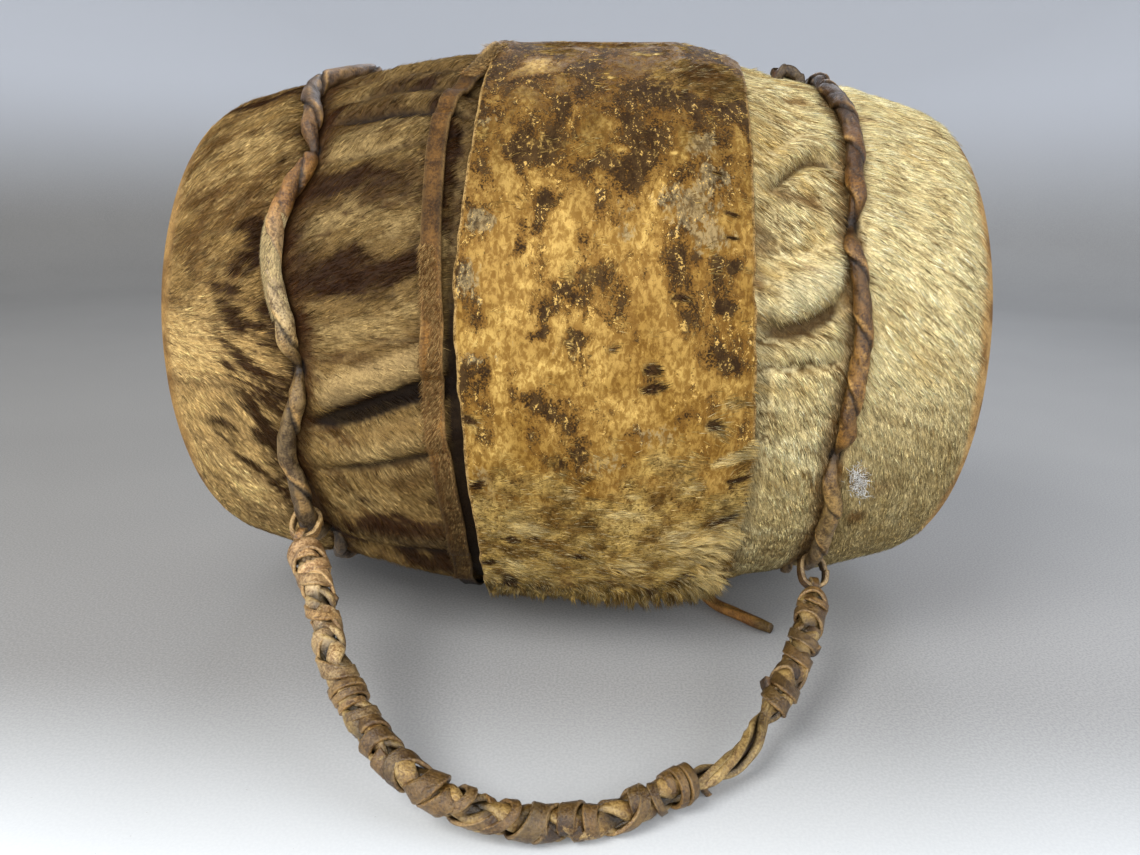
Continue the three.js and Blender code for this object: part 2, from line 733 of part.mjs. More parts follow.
addPiece(drum, 'wooden_shell', shellGeometry(), 0x8a6a44, 0.8);
addPiece(drum, 'brown_head_hide', hideGeometry('left', brownHemPlace, brownCuts), 0x7d5c33, 0.85);
addPiece(drum, 'cream_head_hide', hideGeometry('right', creamHemPlace, creamCuts), 0xb79a68, 0.85);
addPiece(drum, 'draw_thong', drawThongGeometry(drawThongWidth, drawThongThickness), 0x8a6b45, 0.7);
addPiece(drum, 'centre_band', bandGeometry(), 0x9c7236, 0.6);
addPiece(drum, 'girth_thong', girthGeometry(), 0x6f5233, 0.7);
addPiece(drum, 'left_lacing_thong', lacingGeometry(lacings.left), 0x7c6040, 0.6);
addPiece(drum, 'right_lacing_thong', lacingGeometry(lacings.right), 0x6e5132, 0.6);
addPiece(drum, 'right_lacing_end', endLoopGeometry(), 0x6e5132, 0.6);
addPiece(drum, 'thong_tail', tailGeometry(), 0x9a6a35, 0.6);
addPiece(drum, 'left_anchor_ring', anchorRing(lacings.left, leftPivot), 0xa5793f, 0.6);
addPiece(drum, 'right_anchor_ring', anchorRing(lacings.right, rightPivot), 0x9a7142, 0.6);
addPiece(strap, 'strap_core', strapGeometry(), 0x9c7c50, 0.6);
wraps.forEach((wrap) => addPiece(strap, wrap.name, wrapGeometry(wrap), 0x76583a, 0.6));

export default drum;
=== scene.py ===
"""Kebero: a double-headed hide drum with a stiff braided strap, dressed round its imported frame.

Shapes are worked out in millimetres and put into meshes in metres. X runs along the drum, -Y is the front
and +Z is up. A turn is an angle about the drum's axis in degrees, from straight down and rising at the
front, so the front is at 90 and the top at 180.
"""

import math

import bpy
import numpy as np
from mathutils import Matrix, Vector


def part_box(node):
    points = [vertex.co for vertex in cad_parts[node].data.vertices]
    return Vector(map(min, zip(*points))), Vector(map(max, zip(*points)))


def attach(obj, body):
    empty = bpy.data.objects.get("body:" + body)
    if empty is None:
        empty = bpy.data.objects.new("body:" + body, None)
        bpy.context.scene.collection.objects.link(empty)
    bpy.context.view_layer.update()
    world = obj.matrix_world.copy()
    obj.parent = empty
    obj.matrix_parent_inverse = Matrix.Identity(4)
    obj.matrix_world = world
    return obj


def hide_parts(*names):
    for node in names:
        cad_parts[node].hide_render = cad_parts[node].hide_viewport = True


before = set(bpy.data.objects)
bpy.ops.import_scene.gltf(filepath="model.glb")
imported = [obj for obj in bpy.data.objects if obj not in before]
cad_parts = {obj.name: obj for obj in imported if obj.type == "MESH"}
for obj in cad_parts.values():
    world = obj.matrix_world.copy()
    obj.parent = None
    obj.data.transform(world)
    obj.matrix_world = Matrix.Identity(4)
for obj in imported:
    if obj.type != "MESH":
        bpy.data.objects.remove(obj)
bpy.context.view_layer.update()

METRE = 1000.0

# Drum
HALF_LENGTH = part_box("cream_head_hide")[1].x * METRE
BELLY_RADIUS = 150.0
AXIS_HEIGHT = 148.378
HIDE_BELLY = 143.0
HIDE_THICKNESS = 2.6
OUTLINE_PLACE_SHARES = (0, 0.16, 0.293, 0.426, 0.51, 0.585, 0.65, 0.75, 0.835, 0.915, 0.963, 0.99, 1)
OUTLINE_RADIUS_SHARES = (1, 0.999, 0.994, 0.967, 0.934, 0.911, 0.902, 0.887, 0.86, 0.825, 0.785, 0.735, 0.68)

# Lacing
LACING_RADIUS = 3.8
LACING_PLACE = 120.5
STITCH_TURN = 45.0

# Millimetres round the drum for a degree of turn, on the hides and at the lacings' holes
DEGREE = 2.35
HOLE_DEGREE = 2.25

# Camera, fitted to the photograph
CAMERA_PLACE = (16.1, -485.0, 225.2)
CAMERA_FORWARD = (-0.0373, 0.9625, -0.2688)
CAMERA_UP = (-0.0285, 0.2678, 0.963)
CAMERA_LENS = 27.03


# Colour


def linear(code):
    """Linear RGB of an sRGB hex code: the standard curve, a power of 2.4 above a short straight toe."""
    value = np.array([int(code[i : i + 2], 16) for i in (1, 3, 5)]) / 255
    return np.where(value <= 0.04045, value / 12.92, ((value + 0.055) / 1.055) ** 2.4)


def mixed(first, second, share):
    """Straight mix of two colours, codes or arrays of colours, by an array of shares."""
    first, second = (linear(colour) if isinstance(colour, str) else colour for colour in (first, second))
    share = np.asarray(share)[..., None]
    return first * (1 - share) + second * share


# Curves and noise


def ease(low, high, value):
    """0 below low, 1 above high, and 3t^2 - 2t^3 in between."""
    t = np.clip((value - low) / (high - low), 0, 1)
    return t * t * (3 - 2 * t)


def hump(value, centre, half_width):
    """Squared cosine hump: 1 at its centre, 0 from half its width away."""
    return np.cos(np.clip(np.abs(value - centre) / half_width, 0, 1) * math.pi / 2) ** 2


def stacked(*parts):
    """Arrays or numbers, spread to one shape and set side by side as the last axis."""
    return np.stack(np.broadcast_arrays(*parts), -1)


def along_line(at, places, values):
    """Straight interpolation of rows of three values."""
    return np.stack([np.interp(at, places, values[:, k]) for k in range(3)], -1)


def turn_apart(turn, centre):
    """Signed difference of two turns, from -180 to 180."""
    return (turn - centre + 180) % 360 - 180


def through(at, places, values):
    """Cubic Hermite curve through points; the slope at a point is the weighted slope of its two chords."""
    places, values = np.asarray(places, float), np.asarray(values, float)
    slopes = np.gradient(values, places, axis=0)
    i = np.clip(np.searchsorted(places, at) - 1, 0, len(places) - 2)
    step = places[i + 1] - places[i]
    t = np.clip((at - places[i]) / step, 0, 1)
    if values.ndim > 1:
        t, step = t[..., None], step[..., None]
    return (
        (2 * t**3 - 3 * t**2 + 1) * values[i]
        + (t**3 - 2 * t**2 + t) * step * slopes[i]
        + (3 * t**2 - 2 * t**3) * values[i + 1]
        + (t**3 - t**2) * step * slopes[i + 1]
    )


def noise(points, grain, seed=0):
    """Value noise from -1 to 1: hashed numbers at the corners of cubes one grain wide, eased in between."""
    place = np.asarray(points, float) / grain + 512.3 + 7.7 * seed
    cell = np.floor(place).astype(np.int64)
    part = place - cell
    part = part * part * (3 - 2 * part)
    total = 0
    for corner in np.ndindex(2, 2, 2):
        key = cell + corner
        hashed = seed * 9973
        for axis, prime in enumerate((73856093, 19349663, 83492791)):
            hashed = hashed ^ (key[..., axis] * prime)
        hashed = ((hashed ^ (hashed >> 13)) * 1274126177) & 0xFFFFFFFF
        value = ((hashed ^ (hashed >> 16)) & 0xFFFF) / 0xFFFF
        weight = np.prod(np.where(corner, part, 1 - part), axis=-1)
        total = total + weight * value
    return 2 * total - 1


def cloud(points, grain, seed=0):
    """Sum of three noises, each half as coarse and half as strong as the one before."""
    total, strength = 0, 1.0
    for octave in range(3):
        total = total + strength * noise(points, grain / 2**octave, seed + octave)
        strength /= 2
    return total / (2 - 2 * strength)


def unit(vectors):
    """The vectors at length 1."""
    return vectors / np.maximum(np.linalg.norm(vectors, axis=-1, keepdims=True), 1e-9)


def on_drum(x, radius, turn):
    """Point at a place along the axis, a radius and a turn."""
    angle = np.radians(turn)
    return stacked(x, -radius * np.sin(angle), AXIS_HEIGHT - radius * np.cos(angle))


def unrolled(x, turn, degree=DEGREE):
    """The drum's side rolled out flat: the place along it, and millimetres round it."""
    return stacked(x, turn * degree, 0.0)


def outward(turn):
    """Unit vector away from the drum's axis at a turn."""
    angle = np.radians(turn)
    return stacked(0.0, -np.sin(angle), -np.cos(angle))


# Meshes


def make_mesh(name, points, faces, uv=None, tint=None, marks=None):
    """Object of points in millimetres and faces of 3 or 4 corners. uv is one pair for each corner of each
    face; tint and marks are a colour for each point."""
    mesh = bpy.data.meshes.new(name)
    points = np.asarray(points, float).reshape(-1, 3) / METRE
    faces = [np.asarray(group, np.int32) for group in faces if len(group)]
    sizes = np.concatenate([np.full(len(group), group.shape[1], np.int32) for group in faces])
    mesh.vertices.add(len(points))
    mesh.vertices.foreach_set("co", points.astype(np.float32).ravel())
    mesh.loops.add(int(sizes.sum()))
    mesh.loops.foreach_set("vertex_index", np.concatenate([group.ravel() for group in faces]))
    mesh.polygons.add(len(sizes))
    mesh.polygons.foreach_set("loop_start", np.concatenate([[0], np.cumsum(sizes)[:-1]]).astype(np.int32))
    mesh.polygons.foreach_set("loop_total", sizes)
    mesh.update(calc_edges=True)
    if uv is not None:
        layer = mesh.uv_layers.new(name="OFBake")
        layer.data.foreach_set("uv", np.concatenate([group.reshape(-1) for group in uv]).astype(np.float32))
    for label, colours in (("Tint", tint), ("Marks", marks)):
        if colours is not None:
            colours = np.asarray(colours, float).reshape(-1, 3)
            full = np.concatenate([np.clip(colours, 0, 1), np.ones((len(colours), 1))], 1)
            mesh.color_attributes.new(label, "FLOAT_COLOR", "POINT").data.foreach_set("color", full.ravel())
    mesh.validate()
    made = bpy.data.objects.new(name, mesh)
    bpy.context.scene.collection.objects.link(made)
    return made


def smooth(made):
    """Shades the object smoothly."""
    made.data.polygons.foreach_set("use_smooth", np.ones(len(made.data.polygons), bool))
    return made


def grid_faces(rows, columns, closed_rows=False):
    """Quads and their corners' UVs for a grid whose columns close on themselves. With closed rows the last
    row meets the first, and the grid is a torus."""
    i, j = np.meshgrid(np.arange(rows if closed_rows else rows - 1), np.arange(columns), indexing="ij")
    i, j = i.ravel(), j.ravel()
    below, beside = (i + 1) % rows, (j + 1) % columns
    i_row, below = i * columns, below * columns
    quads = stacked(i_row + j, i_row + beside, below + beside, below + j)
    height = rows if closed_rows else rows - 1
    corners = ((0, 0), (1, 0), (1, 1), (0, 1))
    return quads, np.stack([stacked((j + a) / columns, (i + b) / height) for a, b in corners], 1)


def grid_object(name, points, closed_rows=False, poles=(False, False), tint=None, marks=None):
    """Surface over a grid of points, rows by columns, whose columns close. A pole at the first or last row
    fans that row to its middle. Faces are turned to point outwards by the sign of the volume."""
    rows, columns = points.shape[:2]
    quads, uv = grid_faces(rows, columns, closed_rows)
    flat = points.reshape(-1, 3)
    groups, maps = [quads], [uv]
    extra = []
    for wanted, row in zip(poles, (0, rows - 1)):
        if not wanted:
            continue
        centre = len(flat) + len(extra)
        extra.append(row)
        j = np.arange(columns)
        ring = [row * columns + j, row * columns + (j + 1) % columns]
        sides = [j / columns, (j + 1) / columns]
        middle = (sides[0] + sides[1]) / 2
        if row == 0:
            ring, sides = ring[::-1], sides[::-1]
        groups.append(stacked(*ring, centre))
        maps.append(np.stack([stacked(place, 0.0 if row == 0 else 1.0) for place in (*sides, middle)], 1))
    for row in extra:
        flat = np.concatenate([flat, points[row].mean(0, keepdims=True)])
    colours = []
    for given in (tint, marks):
        if given is not None:
            middles = [given[row].mean(0, keepdims=True) for row in extra]
            given = np.concatenate([given.reshape(-1, 3), *middles])
        colours.append(given)
    tris = np.concatenate([quads[:, [0, 1, 2]], quads[:, [0, 2, 3]], *groups[1:]])
    centred = flat - flat.mean(0)
    a, b, c = (centred[tris[:, k]] for k in range(3))
    if (a * np.cross(b, c)).sum() < 0:
        groups = [group[:, ::-1] for group in groups]
        maps = [group[:, ::-1] for group in maps]
    return smooth(make_mesh(name, flat, groups, maps, *colours))


def capped(name, points, tint):
    """A tube with both ends closed."""
    return grid_object(name, points, poles=(True, True), tint=tint)


def tube_points(path, outs, section, closed=False):
    """Grid of a section carried along a path. section holds, for each station and each corner, the offset
    across and the offset outwards; across is tangent x outward."""
    if closed:
        tangent = unit(np.roll(path, -1, 0) - np.roll(path, 1, 0))
    else:
        tangent = unit(np.gradient(path, axis=0))
    out = unit(outs - tangent * (outs * tangent).sum(-1, keepdims=True))
    across = np.cross(tangent, out)
    return path[:, None] + section[..., :1] * across[:, None] + section[..., 1:] * out[:, None]


def resampled(points, count, closed=False):
    """Points at even steps of length along the Hermite curve through the given points."""
    points = np.asarray(points, float)
    if closed:
        points = np.concatenate([points[-2:], points, points[:3]])
    chord = np.concatenate([[0], np.cumsum(np.linalg.norm(np.diff(points, axis=0), axis=1))])
    fine = np.linspace(chord[2] if closed else 0, chord[-3] if closed else chord[-1], 40 * len(points))
    curve = through(fine, chord, points)
    run = np.concatenate([[0], np.cumsum(np.linalg.norm(np.diff(curve, axis=0), axis=1))])
    at = np.linspace(0, run[-1], count, endpoint=not closed)
    return along_line(at, run, curve), run[-1]


# Materials


def node(tree, kind, inputs=(), **settings):
    """Adds a node. An input that is a socket is linked, and any other value is set."""
    made = tree.nodes.new(kind)
    for name, value in settings.items():
        setattr(made, name, value)
    for name, value in dict(inputs).items():
        if isinstance(value, bpy.types.NodeSocket):
            tree.links.new(value, made.inputs[name])
        else:
            made.inputs[name].default_value = value
    return made


def new_material(name, **shader):
    """Material of that name, its tree and its shader, with the shader's sockets set."""
    material = bpy.data.materials.new(name)
    material.use_nodes = True
    tree = material.node_tree
    principled = tree.nodes["Principled BSDF"]
    for socket, value in shader.items():
        principled.inputs[socket.replace("_", " ")].default_value = value
    return material, tree, principled


def rgba(code):
    """A hex colour for a node's socket."""
    return (*linear(code), 1)


def grain(tree, coords, size, detail=3.0, roughness=0.55, distortion=0.0):
    """Noise of a size in millimetres, 0 to 1."""
    values = {"Vector": coords, "Scale": METRE / size, "Detail": detail, "Roughness": roughness}
    values["Distortion"] = distortion
    return node(tree, "ShaderNodeTexNoise", values).outputs["Fac"]


def maths(tree, operation, first, second=0.5):
    """A math node's result, from sockets or numbers."""
    return node(tree, "ShaderNodeMath", {0: first, 1: second}, operation=operation).outputs[0]


def times(tree, first, second):
    """Product of sockets or numbers."""
    return maths(tree, "MULTIPLY", first, second)


def ramped(tree, value, low, high):
    """0 below low and 1 above high, eased in between."""
    inputs = {"Value": value, "From Min": low, "From Max": high}
    return node(tree, "ShaderNodeMapRange", inputs, interpolation_type="SMOOTHSTEP").outputs["Result"]


def roughened(tree, principled, value, low, high):
    """Roughness from low to high as the value goes from 0 to 1."""
    made = node(tree, "ShaderNodeMapRange", {"Value": value, "To Min": low, "To Max": high})
    tree.links.new(made.outputs["Result"], principled.inputs["Roughness"])


def blended(tree, share, first, second, way="MIX"):
    """Mix of two colours, codes or sockets, by a share, or another way of blending them."""
    first, second = (rgba(colour) if isinstance(colour, str) else colour for colour in (first, second))
    made = node(tree, "ShaderNodeMix", {0: share, 6: first, 7: second}, data_type="RGBA", blend_type=way)
    return made.outputs[2]


def painted(tree, principled, colour):
    """The colour as the material's base colour."""
    tree.links.new(colour, principled.inputs["Base Color"])


def bumped(tree, principled, height, depth):
    """Bump of a depth in millimetres."""
    bump = node(tree, "ShaderNodeBump", {"Height": height, "Distance": depth / METRE, "Strength": 1.0})
    tree.links.new(bump.outputs["Normal"], principled.inputs["Normal"])


def object_coordinates(tree):
    """Coordinates that stay with the piece, in metres."""
    return node(tree, "ShaderNodeTexCoord").outputs["Object"]


def attribute(tree, name):
    """A colour stored at the mesh's points."""
    return node(tree, "ShaderNodeAttribute", attribute_name=name).outputs["Color"]


def haired_skin():
    """Raw hide under short hair: matt, with fine hair streaks and dust. The tint holds the coat's patches."""
    material, tree, principled = new_material("haired_raw_hide", Roughness=0.62, Specular_IOR_Level=0.12)
    coords = object_coordinates(tree)
    tint = attribute(tree, "Tint")
    streak = grain(tree, coords, 1.3, 5, 0.7)
    fine = grain(tree, coords, 0.45, 2, 0.6)
    shade = maths(tree, "ADD", times(tree, streak, 0.9), times(tree, fine, 0.5))
    light = ramped(tree, shade, 0.35, 1.05)
    dark = blended(tree, 1.0, tint, "#8c8478", "MULTIPLY")
    colour = blended(tree, light, dark, tint)
    painted(tree, principled, colour)
    bumped(tree, principled, shade, 0.5)
    return material


def hair_strands():
    """Short cattle hair: each strand has its own tint, with a soft gloss along it."""
    material, tree, principled = new_material("short_cattle_hair", Roughness=0.42, Specular_IOR_Level=0.06)
    painted(tree, principled, attribute(tree, "Tint"))
    return material


def worn_rawhide():
    """Scraped raw hide: gold under a brown film that has flaked off, with gold flecks, dark specks and grey
    dirt. The marks hold how much of the brown grain, of the dirt and of the hair is left."""
    material, tree, principled = new_material("worn_scraped_rawhide", Specular_IOR_Level=0.05)
    coords = object_coordinates(tree)
    marks = node(tree, "ShaderNodeSeparateColor", {"Color": attribute(tree, "Marks")})
    tint = attribute(tree, "Tint")

    def swing(value, strength):
        """A noise less its middle, times a strength."""
        return times(tree, maths(tree, "SUBTRACT", value), strength)

    def summed(*values):
        """Sum of two or more sockets."""
        total = values[0]
        for value in values[1:]:
            total = maths(tree, "ADD", total, value)
        return total

    drawn = node(tree, "ShaderNodeMapping", {"Vector": coords, "Scale": (1.0, 0.62, 0.62)}).outputs[0]
    blotch = grain(tree, drawn, 17, 5, 0.62, 0.5)
    patch = grain(tree, drawn, 6, 5, 0.68, 0.5)
    flake = grain(tree, drawn, 2.2, 4, 0.68, 0.4)
    speck = grain(tree, coords, 0.9, 3, 0.6)
    ragged = summed(swing(patch, 1.5), swing(flake, 1.3), swing(speck, 0.6))
    wear = summed(marks.outputs["Red"], swing(blotch, 3.8))
    film = ramped(tree, summed(wear, ragged), 0.3, 0.36)
    crust = ramped(tree, summed(wear, ragged, swing(speck, 0.9)), 0.55, 0.58)
    soft = ramped(tree, wear, 0.0, 0.7)
    gold = blended(tree, ramped(tree, flake, 0.4, 0.62), "#bcae98", "#ffffff")
    gold = blended(tree, 1.0, tint, gold, "MULTIPLY")
    gold = blended(tree, times(tree, soft, 0.5), gold, "#6b4a20")
    thin = blended(tree, ramped(tree, flake, 0.4, 0.6), "#4a3213", "#6f4f20")
    colour = blended(tree, times(tree, film, 0.84), gold, thin)
    umber = blended(tree, ramped(tree, patch, 0.38, 0.62), "#26190c", "#3f2e19")
    colour = blended(tree, times(tree, crust, 0.92), colour, umber)
    dirt = summed(marks.outputs["Green"], swing(patch, 1.3), swing(flake, 1.2))
    haze = times(tree, ramped(tree, dirt, 0.32, 0.52), 0.72)
    grey = blended(tree, ramped(tree, flake, 0.4, 0.6), "#51452f", "#8b7a58")
    colour = blended(tree, haze, colour, grey)
    fleck = ramped(tree, summed(flake, swing(speck, 0.9)), 0.6, 0.64)
    fleck = times(tree, fleck, ramped(tree, summed(blotch, swing(patch, 1.2)), 0.5, 0.62))
    colour = blended(tree, times(tree, fleck, 0.75), colour, "#d0a85c")
    pits = summed(speck, swing(patch, -0.9), times(tree, wear, 0.16))
    colour = blended(tree, times(tree, ramped(tree, pits, 0.7, 0.76), 0.7), colour, "#291b0c")
    streak = summed(swing(flake, 1.0), swing(speck, 0.8))
    haired = blended(tree, ramped(tree, streak, -0.14, 0.12), "#8a8070", "#ffffff")
    haired = blended(tree, 1.0, tint, haired, "MULTIPLY")
    hairy = ramped(tree, summed(marks.outputs["Blue"], swing(patch, 0.9), swing(flake, 0.9)), 0.25, 0.6)
    colour = blended(tree, hairy, colour, haired)
    painted(tree, principled, colour)
    roughened(tree, principled, film, 0.42, 0.6)
    relief = summed(times(tree, flake, 0.6), patch, times(tree, crust, 0.1))
    bumped(tree, principled, relief, 0.9)
    return material


def thong_leather(name, dark, light, gloss, shine=0.3):
    """Raw hide thong polished by handling. The tint gives its colour, seams and cut edges, and the grain its
    grime, worn lights and gloss."""
    material, tree, principled = new_material(name, Specular_IOR_Level=shine)
    coords = object_coordinates(tree)
    tint = attribute(tree, "Tint")
    patch = grain(tree, coords, 7, 5, 0.66)
    fine = grain(tree, coords, 1.0, 4, 0.65)
    both = maths(tree, "ADD", times(tree, patch, 0.6), times(tree, fine, 0.6))
    colour = blended(tree, 1.0, tint, light, "MULTIPLY")
    grimy = blended(tree, 1.0, tint, dark, "MULTIPLY")
    colour = blended(tree, ramped(tree, both, 0.46, 0.72), grimy, colour)
    painted(tree, principled, colour)
    roughened(tree, principled, fine, gloss, gloss + 0.24)
    bumped(tree, principled, both, 0.9)
    return material


def plain_hide():
    """Undressed hide thong out of sight under the band: dull tan with darker grain."""
    material, tree, principled = new_material("undressed_hide_thong", Roughness=0.6)
    patch = grain(tree, object_coordinates(tree), 6, 4, 0.6)
    colour = blended(tree, ramped(tree, patch, 0.35, 0.65), "#6b5233", "#93754a")
    painted(tree, principled, colour)
    bumped(tree, principled, patch, 0.4)
    return material


def carved_wood():
    """Hollowed log, adzed and oiled: long grain along the drum, crossed by tool facets."""
    material, tree, principled = new_material("carved_hardwood", Roughness=0.6)
    coords = node(tree, "ShaderNodeMapping", {"Vector": object_coordinates(tree), "Scale": (0.08, 1, 1)})
    rings = grain(tree, coords.outputs[0], 4, 5, 0.6, 0.8)
    colour = blended(tree, ramped(tree, rings, 0.35, 0.7), "#5f4227", "#96703f")
    painted(tree, principled, colour)
    bumped(tree, principled, rings, 0.4)
    return material


# Heads and skirts of hide


def hide_radius(x):
    """Outline of the barrel: a smooth curve through shares of the half length and of the belly's radius."""
    return HIDE_BELLY * through(np.abs(x) / HALF_LENGTH, OUTLINE_PLACE_SHARES, OUTLINE_RADIUS_SHARES)


def outline_of(hem):
    """Lengths and (x, radius) points of a hide's outline, from its hem over the rim to the head's middle."""
    shares = np.array([share for share in OUTLINE_PLACE_SHARES if share * HALF_LENGTH > hem])
    x = np.concatenate([[hem], shares * HALF_LENGTH, np.full(3, HALF_LENGTH)])
    rim = HIDE_BELLY * OUTLINE_RADIUS_SHARES[-1]
    radius = np.concatenate([hide_radius(x[:-3]), rim * np.array([0.86, 0.45, 0])])
    run = np.concatenate([[0], np.cumsum(np.hypot(np.diff(x), np.diff(radius)))])
    return run, stacked(x, radius)


def lacing_calm(lacing, turn):
    """0 at the lacing's anchor, 1 away from it, where it may wander."""
    return 1 - hump(turn_apart(turn, lacing["anchor"]), 0, 22)


def lacing_x(lacing, turn):
    """Place of a lacing along the drum: it wanders outwards between its holes, by a cosine."""
    wander = lacing["wander"] * np.cos(np.radians(8 * (turn - lacing["hole"]))) * lacing_calm(lacing, turn)
    drift = lacing["drift"] * hump(turn_apart(turn, 172), 0, 15)
    return lacing["side"] * (LACING_PLACE - wander - drift)


def hole_apart(lacing, turn):
    """Signed turn from the nearest lacing hole."""
    return (turn - lacing["hole"] + STITCH_TURN / 2) % STITCH_TURN - STITCH_TURN / 2


# A pleat: its turn at the lacing and at the band, half width in degrees, height of the ridge and depth of the
# groove below it in mm, and how far its middle bows up in degrees.
BROWN_PLEATS = (
    (161, 156, 4.0, 3.4, 2.6, 0), (152, 148, 4.0, 3.4, 2.8, 1), (144, 141, 3.8, 3.0, 2.8, 1),
    (134, 137, 4.5, 1.8, 1.6, -1), (124, 127, 7, 1.6, 0.8, 0), (108, 111, 8, 1.4, 0.6, 0),
    (84, 93, 5.6, 6.4, 7.0, 0), (72, 80, 4.4, 3.8, 2.2, 0), (50, 54, 6.5, 3.6, 2.2, 0),
    (37, 41, 4.5, 3.4, 2.8, 0),
)
CREAM_PLEATS = (
    (158, 152, 8, 1.4, 0.6, 0), (134, 128, 4.2, 3.4, 2.4, 4.0), (110, 104.5, 7.0, 5.8, 3.4, -1),
    (97, 95, 3.4, 1.6, 1.0, 0),
)
BACK_PLEAT_PITCH = 19.0


def all_pleats(front, seed):
    """The pleats seen in front, and behind them a run at an uneven pitch."""
    chance = np.random.default_rng(seed)
    pleats = list(front)
    turn = 181.0
    while turn < 372:
        rises = chance.uniform((1.6, 0.8), (4.0, 3.0))
        pleats.append((turn, turn + chance.uniform(-5, 5), chance.uniform(4, 7), *rises, 0))
        turn += BACK_PLEAT_PITCH * chance.uniform(0.75, 1.25)
    return pleats


def pleat_parts(hide, x, turn):
    """Height of the pleats' rounded ridges and depth of the groove just below each: squared cosines across,
    growing from the lacing towards the band and wandering a little."""
    grow = ease(0, 1, (LACING_PLACE - 3 - np.abs(x)) / hide["pleat_run"])
    grow = grow * (0.3 + 0.7 * ease(hide["edge"] - 2, hide["edge"] + 10, np.abs(x)))
    slide = ease(0, 1, (LACING_PLACE - np.abs(x)) / (LACING_PLACE - hide["edge"]))
    wobble = 0.8 * noise(unrolled(x, turn, 2.4), 24, 5)
    ridges, grooves = np.zeros_like(x), np.zeros_like(x)
    for at_lacing, at_band, width, ridge, groove, bow in hide["pleats"]:
        middle = at_lacing + (at_band - at_lacing) * slide + bow * np.sin(math.pi * slide)
        apart = turn_apart(turn, middle) + wobble
        ridges = ridges + ridge * hump(apart, width * 0.2, width) ** 0.8
        grooves = grooves + groove * hump(apart, -width * 0.72, width * 0.55)
    return ridges * grow, grooves * grow


def pleat_rise(hide, x, turn):
    """Height of the ridges less the depth of the grooves."""
    ridges, grooves = pleat_parts(hide, x, turn)
    return ridges - grooves


def gap_depth(hide, turn):
    """How deep the gap beside the band is, and how much painted shadow lies in it: less above the front."""
    return hide["gap_dark"] * (1 - 0.75 * ease(98, 112, turn % 360) * ease(190, 170, turn % 360))


def hide_rise(hide, x, turn):
    """Height of a hide above its barrel outline: pleats, the dip where the lacing pulls in, the swell on
    both sides of it, soft unevenness, and a pit at each lacing hole. A hyperbolic tangent keeps it above the
    shell, 2.4 mm down."""
    lacing = hide["lacing"]
    from_lacing = x - lacing_x(lacing, turn)
    place = on_drum(x, hide_radius(x), turn)
    rise = 0.7 * cloud(place, 40, hide["seed"]) + 0.35 * cloud(place, 12, hide["seed"] + 3)
    rise += pleat_rise(hide, x, turn)
    rise -= 1.5 * np.exp(-((from_lacing / 4.0) ** 2))
    rise += 1.3 * np.exp(-(((np.abs(from_lacing) - 13) / 8) ** 2))
    along_hole = hole_apart(lacing, turn) * HOLE_DEGREE
    pit = np.exp(-((from_lacing / 3.2) ** 2) - (along_hole / 4.6) ** 2)
    gap = ease(hide["edge"] + 7.5, hide["edge"] + 4.5, np.abs(x))
    rise = rise - 3.8 * pit - 3.6 * gap_depth(hide, turn) * gap
    deep = np.maximum(-1.1 - rise, 0)
    return np.maximum(rise, -1.1) - 1.3 * np.tanh(deep / 1.3)


def run_at(hide, x):
    """Length along a hide's outline at a place along the drum."""
    table, outline = hide["outline"]
    return np.interp(x, outline[:-3, 0], table[:-3])


def hide_shape(hide, run, turn):
    """Point of a hide at a length along its outline and a turn: the outline's point, lifted square to the
    outline by the hide's rise. The head itself stays flat."""
    table, outline = hide["outline"]
    place = through(run, table, outline)
    ahead = through(run + 0.5, table, outline) - through(run - 0.5, table, outline)
    normal = unit(stacked(-ahead[..., 1], ahead[..., 0]))
    x = hide["side"] * place[..., 0]
    on_skirt = ease(60, 100, place[..., 1]) * (1 - ease(0.93, 0.985, place[..., 0] / HALF_LENGTH) * 0.8)
    rise = hide_rise(hide, x, turn) * on_skirt
    radius = place[..., 1] + rise * normal[..., 1]
    return on_drum(x + hide["side"] * rise * normal[..., 0], radius, turn)


def skirt_place(hide, run):
    """Signed x and radius of the outline at that length."""
    place = through(run, *hide["outline"])
    return hide["side"] * place[..., 0], place[..., 1]


def patch(x, turn, spots):
    """Strongest of several soft oval marks, each (x, turn, half length, half width in mm, tilt, strength)."""
    total = np.zeros(np.broadcast(x, turn).shape)
    for centre_x, centre_turn, half_long, half_wide, tilt, strength in spots:
        along = x - centre_x
        up = turn_apart(turn, centre_turn) * 2.3
        c, s = math.cos(math.radians(tilt)), math.sin(math.radians(tilt))
        oval = ((along * c + up * s) / half_long) ** 2 + ((up * c - along * s) / half_wide) ** 2
        total = np.maximum(total, strength * np.exp(-(oval**1.3)))
    return total


def warped(x, turn, reach, size, seed):
    """The place shifted by two noises, so that marks put there have ragged edges."""
    place = unrolled(x, turn)
    return x + reach * cloud(place, size, seed), turn + reach / DEGREE * cloud(place, size, seed + 5)


def streaked(x, turn, lie, long, short, seed):
    """Noise drawn out along the hair: the place is turned by the hair's lie and squeezed along it."""
    up = turn * DEGREE
    c, s = np.cos(np.radians(lie)), np.sin(np.radians(lie))
    place = stacked((x * c + up * s) / long, (up * c - x * s) / short, 0.37)
    return noise(place, 1.0, seed) * 0.65 + noise(place, 0.45, seed + 1) * 0.35


